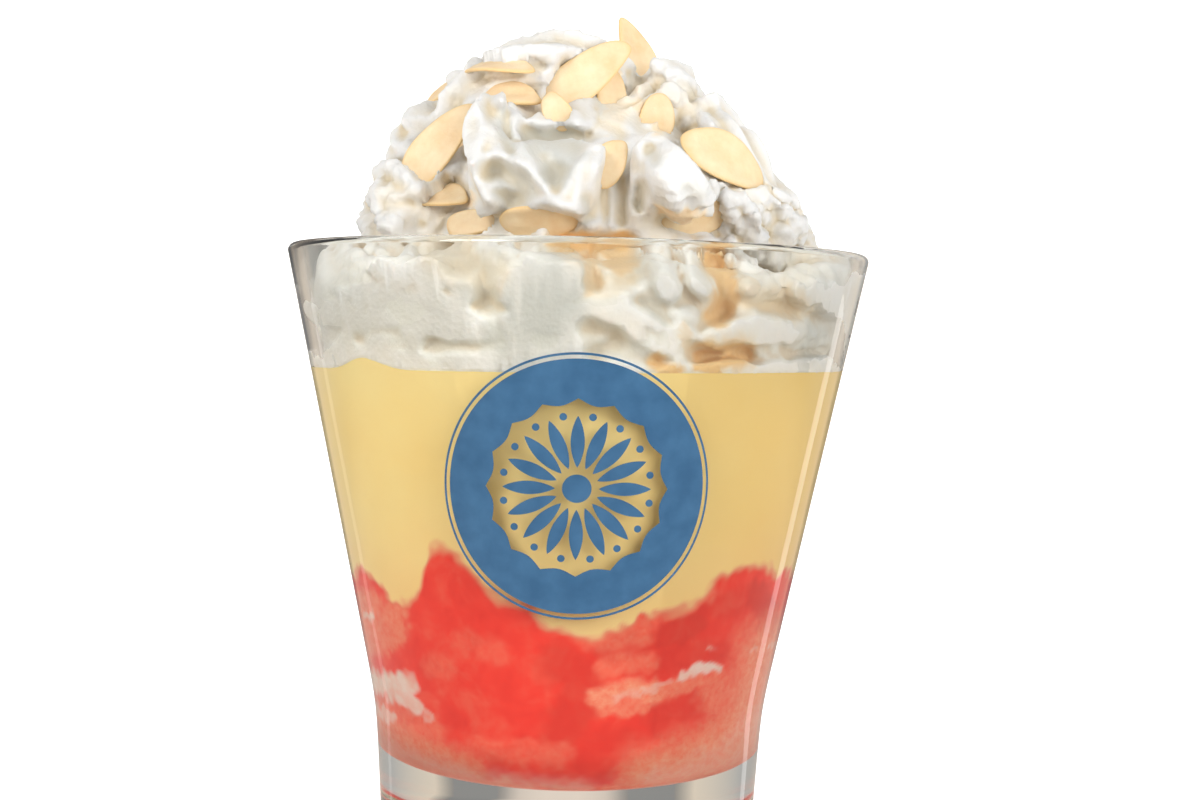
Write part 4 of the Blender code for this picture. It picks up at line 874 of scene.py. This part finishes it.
def tuft(azimuth, height, chance):
    heading = chance.uniform(0, math.tau)
    curl = chance.uniform(-TUFT_CURL, TUFT_CURL)
    reach = chance.uniform(*TUFT_REACH)
    thick = chance.uniform(*TUFT_THICKNESS)
    points = []
    for step in (-1.0, -0.5, 0.0, 0.5, 1.0):
        way = heading + curl * step
        level = min(height + reach * step * math.sin(way) * 0.8, DOME_TOP - 4)
        width = thick * (1 - 0.75 * step**2)
        radius = max(heap_radius(level) - width * 0.8 - 1.5 * abs(step), 2.0)
        shift = math.degrees(reach * step * math.cos(way) / max(radius, 12.0))
        points.append((azimuth + shift, radius, level, width))
    return points


def cream_strands():
    chance = random.Random(SEED)
    sections = {name: star_section(name, *shape) for name, shape in SECTIONS.items()}
    strands = [("star", 5.0, 0, swirl(*ring, chance)) for ring in CREAM_RINGS]
    strands.append(("soft", 3.0, 0, wall_ring(chance)))
    for band, (height, count, start, end) in enumerate(TUFT_BANDS):
        for i in range(count):
            azimuth = start + (end - start) * (i + chance.uniform(0.2, 0.8)) / count
            points = tuft(azimuth, height + chance.uniform(-4, 4), chance)
            kind = ("star", "five", "fine")[(i + band) % 3]
            strands.append((kind, chance.uniform(-4, 4), chance.uniform(0, 360), points))
    strands.append(("soft", 2.0, 0, low_ring(random.Random(SEED + 1))))
    strands += PLACED_STRANDS
    return [strand(sections[kind], *rest) for kind, *rest in strands], list(sections.values())


def between(table, azimuth):
    """The values of a table at an azimuth, eased between its rows."""
    after = next((i for i, row in enumerate(table) if row[0] > azimuth), len(table) - 1)
    first, last = table[after - 1], table[after]
    share = min(max((azimuth - first[0]) / (last[0] - first[0]), 0.0), 1.0)
    return [a + (b - a) * eased(share) for a, b in zip(first[1:], last[1:])]


def slab():
    """Cream lying against the front of the glass, its top edge broken."""
    points = []
    for azimuth in np.linspace(SLAB[0][0], SLAB[-1][0], SLAB_COLUMNS):
        top, off = between(SLAB, azimuth)
        levels = np.linspace(SLAB_BOTTOM, top, SLAB_ROWS)
        outer = [(inner_radius(z) + INTO_GLASS + SLAB_PRESS - off, z) for z in levels]
        outer[-1] = (outer[-1][0] - SLAB_BREAK, outer[-1][1])
        inner = [(r - SLAB_DEPTH, z) for r, z in reversed(outer)]
        points += [polar(azimuth, r, z) for r, z in outer + inner]
    count = 2 * SLAB_ROWS
    faces = [tuple(range(count))[::-1], tuple(range(len(points) - count, len(points)))]
    return mesh_object("slab", points, faces + side_faces(SLAB_COLUMNS, count))


def cream_core():
    radius, half, middle = CREAM_HEART
    bpy.ops.mesh.primitive_uv_sphere_add(segments=64, ring_count=32, radius=MM, location=(0, 0, middle * MM))
    heart = bpy.context.object
    heart.scale = (radius, radius, half)
    radius, depth, middle = CREAM_BASE
    bpy.ops.mesh.primitive_cylinder_add(
        vertices=96, radius=radius * MM, depth=depth * MM, location=(0, 0, middle * MM)
    )
    return [heart, bpy.context.object]


def evaluated_mesh(obj):
    bpy.context.view_layer.update()
    graph = bpy.context.evaluated_depsgraph_get()
    mesh = bpy.data.meshes.new_from_object(obj.evaluated_get(graph))
    mesh.transform(obj.matrix_world)
    return mesh


def joined(name, objects):
    whole = bmesh.new()
    for obj in objects:
        piece = evaluated_mesh(obj)
        welded = bmesh.new()
        welded.from_mesh(piece)
        bmesh.ops.remove_doubles(welded, verts=welded.verts, dist=1e-6)
        welded.to_mesh(piece)
        welded.free()
        whole.from_mesh(piece)
        bpy.data.objects.remove(obj)
    mesh = bpy.data.meshes.new(name)
    whole.to_mesh(mesh)
    whole.free()
    return add_object(name, mesh)


def apply_modifiers(obj):
    mesh = evaluated_mesh(obj)
    obj.modifiers.clear()
    obj.data = mesh


def lean(points):
    share = np.clip((points[:, 2] - LEAN_FROM) / (LEAN_TO - LEAN_FROM), 0, 1)
    points[:, 0] += LEAN_LOW + (LEAN_HIGH - LEAN_LOW) * eased(share)


def wave(points, size, amount, shift):
    offsets = [NOISE_SHIFT * shift + AXIS_SHIFT * axis for axis in range(3)]
    for i, point in enumerate(points):
        place = Vector(point) / size
        points[i] += np.array([noise.noise(place + offset) for offset in offsets]) * amount


def front_places(points):
    """Where each point is seen from SIGHT in the plane through the axis: to the right and up."""
    x, y, z = SIGHT
    scale = -y / (points[:, 1] - y)
    return np.column_stack([x + (points[:, 0] - x) * scale, z + (points[:, 2] - z) * scale])


def strayed(places, points, size, shift, amount):
    """Places moved a little each way by noise."""
    noises = [noise_at(points, size, shift), noise_at(points, size, shift + 1)]
    return places + np.column_stack(noises) * amount


def rounded(line):
    """The points of a line, given right and up in turn, with its corners cut twice."""
    line = np.reshape(line, (-1, 2)).astype(float)
    for _ in range(2):
        if len(line) > 2:
            near = line[:-1] * 0.75 + line[1:] * 0.25
            far = line[:-1] * 0.25 + line[1:] * 0.75
            line = np.vstack([line[:1], np.stack([near, far], 1).reshape(-1, 2), line[-1:]])
    return line


def away_from(places, line):
    """Distance of each place from a line."""
    line = rounded(line)
    best = np.full(len(places), 1e9)
    for start, end in zip(line, line[1:] if len(line) > 1 else line):
        run = end - start
        share = np.clip((places - start) @ run / max(run @ run, 1e-9), 0, 1)
        best = np.minimum(best, np.hypot(*(places - start - share[:, None] * run).T))
    return best


def ridge(away):
    return np.exp(0.35 - np.sqrt(away**2 + 0.1225))


def lump(away):
    return np.sqrt(np.clip(1 - away**2, 0, 1))


def dent(away):
    return np.exp(-(away**2))


def relief_height(places):
    """How far the strokes raise each place: the greater of those that meet, run softly into one another."""
    heights = []
    for kind, form in (("crest", ridge), ("lobe", lump), ("bowl", dent)):
        total = 0.0
        for width, height, *line in RELIEF[kind]:
            total = total + (height * form(away_from(places, line) / width)) ** 3
        heights.append(np.cbrt(total))
    crest, lobe, bowl = heights
    return crest + lobe - bowl


def front_relief(points):
    """Moves the points of the front towards the eye or away from it."""
    start, fade = RELIEF_FADE
    near = np.flatnonzero(points[:, 1] < start)
    chosen = points[near]
    places = strayed(front_places(chosen), chosen, 5.0, 21, 0.7)
    share = np.clip((start - chosen[:, 1]) / fade, 0, 1)
    sight = np.array(SIGHT) - chosen
    sight /= np.linalg.norm(sight, axis=1)[:, None]
    points[near] += sight * (relief_height(places) * share)[:, None]


def tint_masks(points, tints):
    """How far each point of the front is tinted, for each kind of tint."""
    places = strayed(front_places(points), points, 4.0, 23, 0.9)
    places = strayed(places, points, 1.4, 25, 0.8)
    start, fade = TINT_FADE
    front = np.clip((start - points[:, 1]) / fade, 0, 1)
    masks = {}
    for kind, strokes in tints.items():
        tint = np.zeros(len(points))
        for width, strength, *line in strokes:
            share = np.clip((TINT_END - away_from(places, line) / width) / TINT_EDGE, 0, 1)
            tint = np.maximum(tint, strength * share * share * (3 - 2 * share))
        masks[kind] = tint * front
    return masks


def voxel_skin(obj):
    remesh = obj.modifiers.new("one_skin", "REMESH")
    remesh.mode = "VOXEL"
    remesh.voxel_size = CREAM_VOXEL * MM
    apply_modifiers(obj)


def smoothed(obj, points, rounds):
    """Each point moved towards the mean of its neighbours, that many times."""
    a, b = values_of(obj.data.edges, "vertices", 2, np.int32).T
    size = len(points)
    count = np.bincount(a, minlength=size) + np.bincount(b, minlength=size)
    for _ in range(rounds):
        total = np.empty_like(points)
        for axis in range(3):
            along = points[:, axis]
            total[:, axis] = np.bincount(a, along[b], size) + np.bincount(b, along[a], size)
        points = (points + total / count[:, None]) / 2
    return points


def hollow_depth(obj, points, rounds):
    """How far each point lies inside its surroundings, the wider the more rounds."""
    return ((smoothed(obj, points, rounds) - points) * normals_of(obj)).sum(1)


def froth(obj, points, rough):
    """Fine unevenness: soft ripples, and rows of small torn bumps where the cream is frothy."""
    ripple = noise_at(points, 3.4, 11) * 0.3
    patchy = np.clip(noise_at(points, 13.0, 12) * 2.0 + 0.1, 0, 1)
    torn = (1 - 2 * np.abs(noise_at(points, 1.9, 13))) * (0.32 * patchy + 0.6 * rough)
    curds = (0.35 - np.abs(noise_at(points, 3.1, 14))) * 1.6 * rough
    return points + normals_of(obj) * (ripple + torn + curds)[:, None]


def off_flakes(points):
    """Moves cream that would just show through a flake of almond to the flake's underside."""
    for name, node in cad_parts.items():
        if not name.startswith("almond_flake"):
            continue
        middle, axes, half, shift, bend = flake_shape(node)[:5]
        near = np.flatnonzero(np.abs(points - middle).max(1) < half[0] + 1)
        local = (points[near] - middle) @ axes.T - shift
        along, across = local[:, 0] / half[0], local[:, 1] / half[1]
        over = local[:, 2] - bend * (along**2 - 0.25) + 0.25 * bend * across**2
        out = 1.0 if axes[2] @ (middle - np.array(HEAP_MIDDLE)) > 0 else -1.0
        under = (along**2 + across**2 < 0.9) & (over * out > -0.5) & (over * out < 1.8)
        points[near[under]] -= axes[2] * (over[under] + 0.5 * out)[:, None]


def fit_to_room(points):
    """Keeps the heap inside the glass, just into the wall and the custard."""
    azimuth = np.degrees(np.arctan2(points[:, 0], -points[:, 1]))
    radius = np.hypot(points[:, 0], points[:, 1])
    height = points[:, 2]
    wall = np.array([inner_radius(min(max(z, ROOM_FROM), RIM_HEIGHT)) for z in height]) + INTO_GLASS
    wall = np.where(height > RIM_HEIGHT + ROOM_OVER_RIM, np.inf, wall)
    share = np.minimum(radius, wall) / np.maximum(radius, 1e-6)
    points[:, :2] *= share[:, None]
    floor = np.array([custard_top(a, min(r / ROOM_RADIUS, 1.0)) for a, r in zip(azimuth, radius)])
    points[:, 2] = np.maximum(height, floor - INTO_CUSTARD)


def cream_piece(material):
    strands, sections = cream_strands()
    cream = joined("cream_heap", strands + [slab()] + cream_core())
    for section in sections:
        bpy.data.objects.remove(section)
    voxel_skin(cream)
    points = points_of(cream)
    lean(points)
    for size, amount, shift in CREAM_WAVES:
        wave(points, size, amount, shift)
    points = smoothed(cream, points, SMOOTH_ROUNDS)
    front_relief(points)
    fit_to_room(points)
    set_points(cream, points)
    voxel_skin(cream)
    points = smoothed(cream, points_of(cream), 1)
    set_points(cream, points)
    # How hollow the cream is, broad and close, and its tints; the material turns these into painted shade
    broad = hollow_depth(cream, points, BROAD_ROUNDS)
    close = hollow_depth(cream, points, CLOSE_ROUNDS)
    masks = tint_masks(points, TINTS)
    points = froth(cream, points, masks.pop("rough"))
    masks["hollow"] = np.clip(HOLLOW_LEVEL + BROAD_SHARE * broad + CLOSE_SHARE * close, 0, 1)
    fit_to_room(points)
    off_flakes(points)
    set_points(cream, points)
    for kind, values in masks.items():
        store(cream, kind, values)
    fewer = cream.modifiers.new("fewer_faces", "DECIMATE")
    cream.data.calc_loop_triangles()
    fewer.ratio = min(1.0, CREAM_TRIANGLES / len(cream.data.loop_triangles))
    apply_modifiers(cream)
    cream.data.shade_smooth()
    cream.data.materials.clear()
    cream.data.materials.append(material)
    return cream


# Almonds


def flake_shape(node):
    """A solid flake's middle, its axes from the long to the thin one, its half size along them, how far it
    lies to the side of the middle, how far its ends bend and which end is blunt."""
    corners = np.unique(np.round(points_of(node), 3), axis=0)
    middle = corners.mean(0)
    axes = np.linalg.svd(corners - middle, full_matrices=False)[2]
    axes[2] = np.cross(axes[0], axes[1])
    local = (corners - middle) @ axes.T
    half = (local.max(0) - local.min(0)) / 2
    shift = (local.max(0) + local.min(0)) / 2
    ends = local[:, 0] - shift[0]
    wide = np.abs(local[:, 1] - shift[1])
    blunt = -1.0 if (wide * ends).sum() < 0 else 1.0
    far = np.abs(ends) > 0.75 * half[0]
    bend = (local[far, 2].mean() - local[~far, 2].mean()) / 0.6
    return middle, axes, half, shift, bend, blunt


def almond_piece(name, node, material, seed):
    """A finer slice of almond in the place of a solid one: blunt end, bend and size as there."""
    middle, axes, half, shift, bend, blunt = flake_shape(node)
    chance = random.Random(seed)
    phases = [chance.uniform(0, math.tau) for _ in range(4)]
    thick = chance.uniform(*FLAKE_HALF)
    rings = [(1, ring) for ring in range(1, FLAKE_RINGS + 1)]
    rings += [(-1, ring) for ring in range(FLAKE_RINGS - 1, 0, -1)]
    points = []
    rims = []
    for side, ring in rings:
        share = math.sin(math.pi / 2 * ring / FLAKE_RINGS)
        edge = (1 - share**14) ** 0.5 if ring < FLAKE_RINGS else 0.0
        for i in range(FLAKE_STEPS):
            angle = math.tau * i / FLAKE_STEPS
            uneven = 1 + sum(FLAKE_UNEVEN * math.cos((k + 2) * angle + phases[k]) for k in range(4))
            x = share * uneven * math.cos(angle)
            y = share * uneven * math.sin(angle) * (1 + FLAKE_TAPER * blunt * math.cos(angle))
            body = bend * (x * x - 0.25) - 0.25 * bend * y * y
            grain = FLAKE_GRAIN * math.sin(7 * y + phases[0]) * math.sin(3 * x + phases[1])
            points.append((x * half[0], y * half[1] / 1.02, body + side * (thick * edge) + grain))
            rims.append(max(0.0, (share - FLAKE_RIM) / (1 - FLAKE_RIM)) ** 2)
    points += [(0, 0, -0.25 * bend + thick), (0, 0, -0.25 * bend - thick)]
    world = (np.array(points) + shift) @ axes + middle
    flake = mesh_object(name, world * MM, ring_faces(len(rings), FLAKE_STEPS), material)
    mesh = bmesh.new()
    mesh.from_mesh(flake.data)
    bmesh.ops.recalc_face_normals(mesh, faces=mesh.faces)
    mesh.to_mesh(flake.data)
    mesh.free()
    store(flake, "rim", rims + [0, 0])
    return flake


# Printed medallion


def on_wall(x, y):
    """Point just off the glass's outer wall, at x to the right of and y above the print's middle."""
    height = PRINT_HEIGHT + y * math.cos(math.atan(WALL_FLARE))
    radius = outer_radius(height)
    return polar(math.degrees((x + PRINT_SHIFT) / radius), radius + PRINT_GAP, height)


def band(inner, outer, steps=144):
    """Points and faces of a flat ring, whose inner radius may be a function of the angle."""
    points = []
    across = 6
    for k in range(across + 1):
        for i in range(steps):
            angle = math.radians(360 * i / steps)
            low = inner(angle) if callable(inner) else inner
            r = low + (outer - low) * k / across
            points.append((r * math.cos(angle), r * math.sin(angle)))
    return points, side_faces(across + 1, steps)


def petal(radius, length, width, turn, steps=18):
    """Points and faces of a pointed oval with its middle at a radius, turned about the print's middle."""
    cos, sin = math.cos(turn), math.sin(turn)
    points = []
    faces = []
    for i in range(steps + 1):
        share = i / steps
        x = radius - length / 2 + length * share
        half = width / 2 * math.sin(math.pi * share) ** 0.8
        for y in (-half, 0.0, half):
            points.append((x * cos - y * sin, x * sin + y * cos))
    for i in range(steps):
        for side in (0, 1):
            a = i * 3 + side
            faces.append((a, a + 3, a + 4, a + 1))
    return points, faces


def medallion(material):
    """A plain ring, a scalloped ring, petals and dots: the generic design printed on the glass."""
    inner, depth, number = SCALLOPS
    away, dot_radius = DOT
    shapes = [
        band(PRINT_RADIUS - RING_WIDTH, PRINT_RADIUS),
        band(lambda a: inner - depth * abs(math.sin(number * a / 2)), PRINT_RADIUS - RING_STEP),
        band(0.0, HUB_RADIUS, steps=48),
    ]
    for k in range(PETALS):
        shapes.append(petal(*PETAL, math.tau * k / PETALS))
    for k in range(PETALS):
        turn = math.tau * (k + 0.5) / PETALS
        dot, faces = band(0.0, dot_radius, steps=16)
        shapes.append(([(x + away * math.cos(turn), y + away * math.sin(turn)) for x, y in dot], faces))
    points = []
    faces = []
    for flat, ring in shapes:
        base = len(points)
        points += [on_wall(x, y) for x, y in flat]
        faces += [tuple(base + i for i in face) for face in ring]
    return mesh_object("medallion", points, faces, material)


# Stage


def add_floor():
    """A floor that rises behind the glass in a curve and glows further out."""
    material, tree, shader = shader_of("floor", Roughness=0.9, Emission_Color=WHITE)
    tone = noise_value(tree, object_point(tree), 300.0, 1.0)
    feed(tree, shader.inputs["Base Color"], ramp(tree, tone, ((0.3, 0.88), (0.7, 0.90))))
    away = add_node(tree, "VectorMath", {0: object_point(tree)}, operation="LENGTH").outputs["Value"]
    glow = ramp(tree, calculate(tree, "MULTIPLY", away, GLOW_SCALE), FLOOR_GLOW)
    feed(tree, shader.inputs["Emission Strength"], glow)
    profile = [(FLOOR_FRONT, 0.0), (FLOOR_BACK, 0.0)]
    profile += arc(FLOOR_BACK, FLOOR_CURVE, FLOOR_CURVE, -90, 0, 16)[1:]
    profile += [(FLOOR_BACK + FLOOR_CURVE, FLOOR_TOP)]
    points = [(x, y, z) for y, z in profile for x in (-FLOOR_HALF, FLOOR_HALF)]
    faces = [(2 * i, 2 * i + 1, 2 * i + 3, 2 * i + 2) for i in range(len(profile) - 1)]
    floor = mesh_object("floor", points, faces, material)
    floor.visible_glossy = False
    floor.visible_transmission = False


def add_backdrop():
    """A white sphere that only the camera sees and that lights nothing."""
    material = shader_of(
        "backdrop", Base_Color=(0.0, 0.0, 0.0), Roughness=1.0, Emission_Color=WHITE, Emission_Strength=1.0
    )[0]
    material.cycles.emission_sampling = "NONE"
    bpy.ops.mesh.primitive_uv_sphere_add(segments=48, ring_count=24, radius=BACKDROP_RADIUS)
    backdrop = bpy.context.object
    backdrop.name = "backdrop"
    backdrop.data.materials.append(material)
    backdrop.visible_diffuse = False
    backdrop.visible_glossy = False
    backdrop.visible_transmission = False
    backdrop.visible_shadow = False


def add_sky():
    """Surroundings that light the piece and show in the glass."""
    world = bpy.data.worlds.new("studio")
    bpy.context.scene.world = world
    world.use_nodes = True
    tree = world.node_tree
    background = tree.nodes["Background"]
    way = add_node(tree, "TexCoord").outputs["Generated"]
    high, far = (
        ramp(tree, calculate(tree, "MULTIPLY_ADD", part_of(tree, way, axis), 0.5, 0.5), stops)
        for axis, stops in (("Z", SKY_HIGH), ("Y", SKY_BACK))
    )
    brighter = add_node(tree, "VectorMath", {0: high, 1: far}, operation="MAXIMUM").outputs["Vector"]
    feed(tree, background.inputs["Color"], brighter)
    background.inputs["Strength"].default_value = 1.0


def add_lights():
    for name, place, size, power, colour, shows in LIGHTS:
        data = bpy.data.lights.new(name, "AREA")
        data.shape = "RECTANGLE"
        data.size, data.size_y = size
        data.energy = power
        data.color = colour
        lamp = add_object(name, data)
        lamp.location = place
        lamp.rotation_euler = (LAMP_AIM - Vector(place)).to_track_quat("-Z", "Y").to_euler()
        lamp.visible_glossy = shows
        lamp.visible_transmission = False


def add_camera():
    data = bpy.data.cameras.new("camera")
    data.sensor_width = SENSOR_WIDTH
    data.lens = SENSOR_WIDTH * FOCAL_PIXELS / IMAGE_WIDTH
    data.clip_start = 0.01
    view = add_object("camera", data)
    place = Matrix.Translation(Vector(CAMERA_PLACE) * MM)
    pitch = Matrix.Rotation(math.radians(90 - CAMERA_PITCH), 4, "X")
    roll = Matrix.Rotation(math.radians(CAMERA_ROLL), 4, "Z")
    view.matrix_world = place @ pitch @ roll
    bpy.context.scene.camera = view


def jelly_bottom(azimuth, share):
    return FLOOR_HEIGHT - INTO_GLASS


def custard_bottom(azimuth, share):
    return jelly_top(azimuth, share) - LAYER_OVERLAP


def main():
    bpy.context.scene.view_settings.view_transform = "Standard"
    add_camera()
    add_floor()
    add_backdrop()
    add_sky()
    add_lights()
    glass = glass_piece(glass_material())
    jelly = filling_piece("jelly", jelly_top, jelly_bottom, filling_material("red_jelly", 0.3))
    custard = filling_piece("custard_layer", custard_top, custard_bottom, filling_material("custard", 0.4))
    filling_masks(jelly)
    filling_masks(custard)
    cream = cream_piece(cream_material())
    almond = almond_material()
    pieces = [
        (glass, "glass_tumbler", "clear_glass"),
        (jelly, "jelly_sponge", "red_jelly"),
        (custard, "custard", "custard"),
        (cream, "whipped_cream", "whipped_cream"),
    ]
    for node in sorted(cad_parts):
        if node.startswith("almond_flake"):
            number = int(node[-2:])
            flake = almond_piece(f"slice_{number:02d}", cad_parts[node], almond, number)
            pieces.append((flake, node, "almond"))
    for piece, node, slot in pieces:
        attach(piece, "root")
        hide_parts(node)
    label = medallion(print_material())
    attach(label, "root")


main()
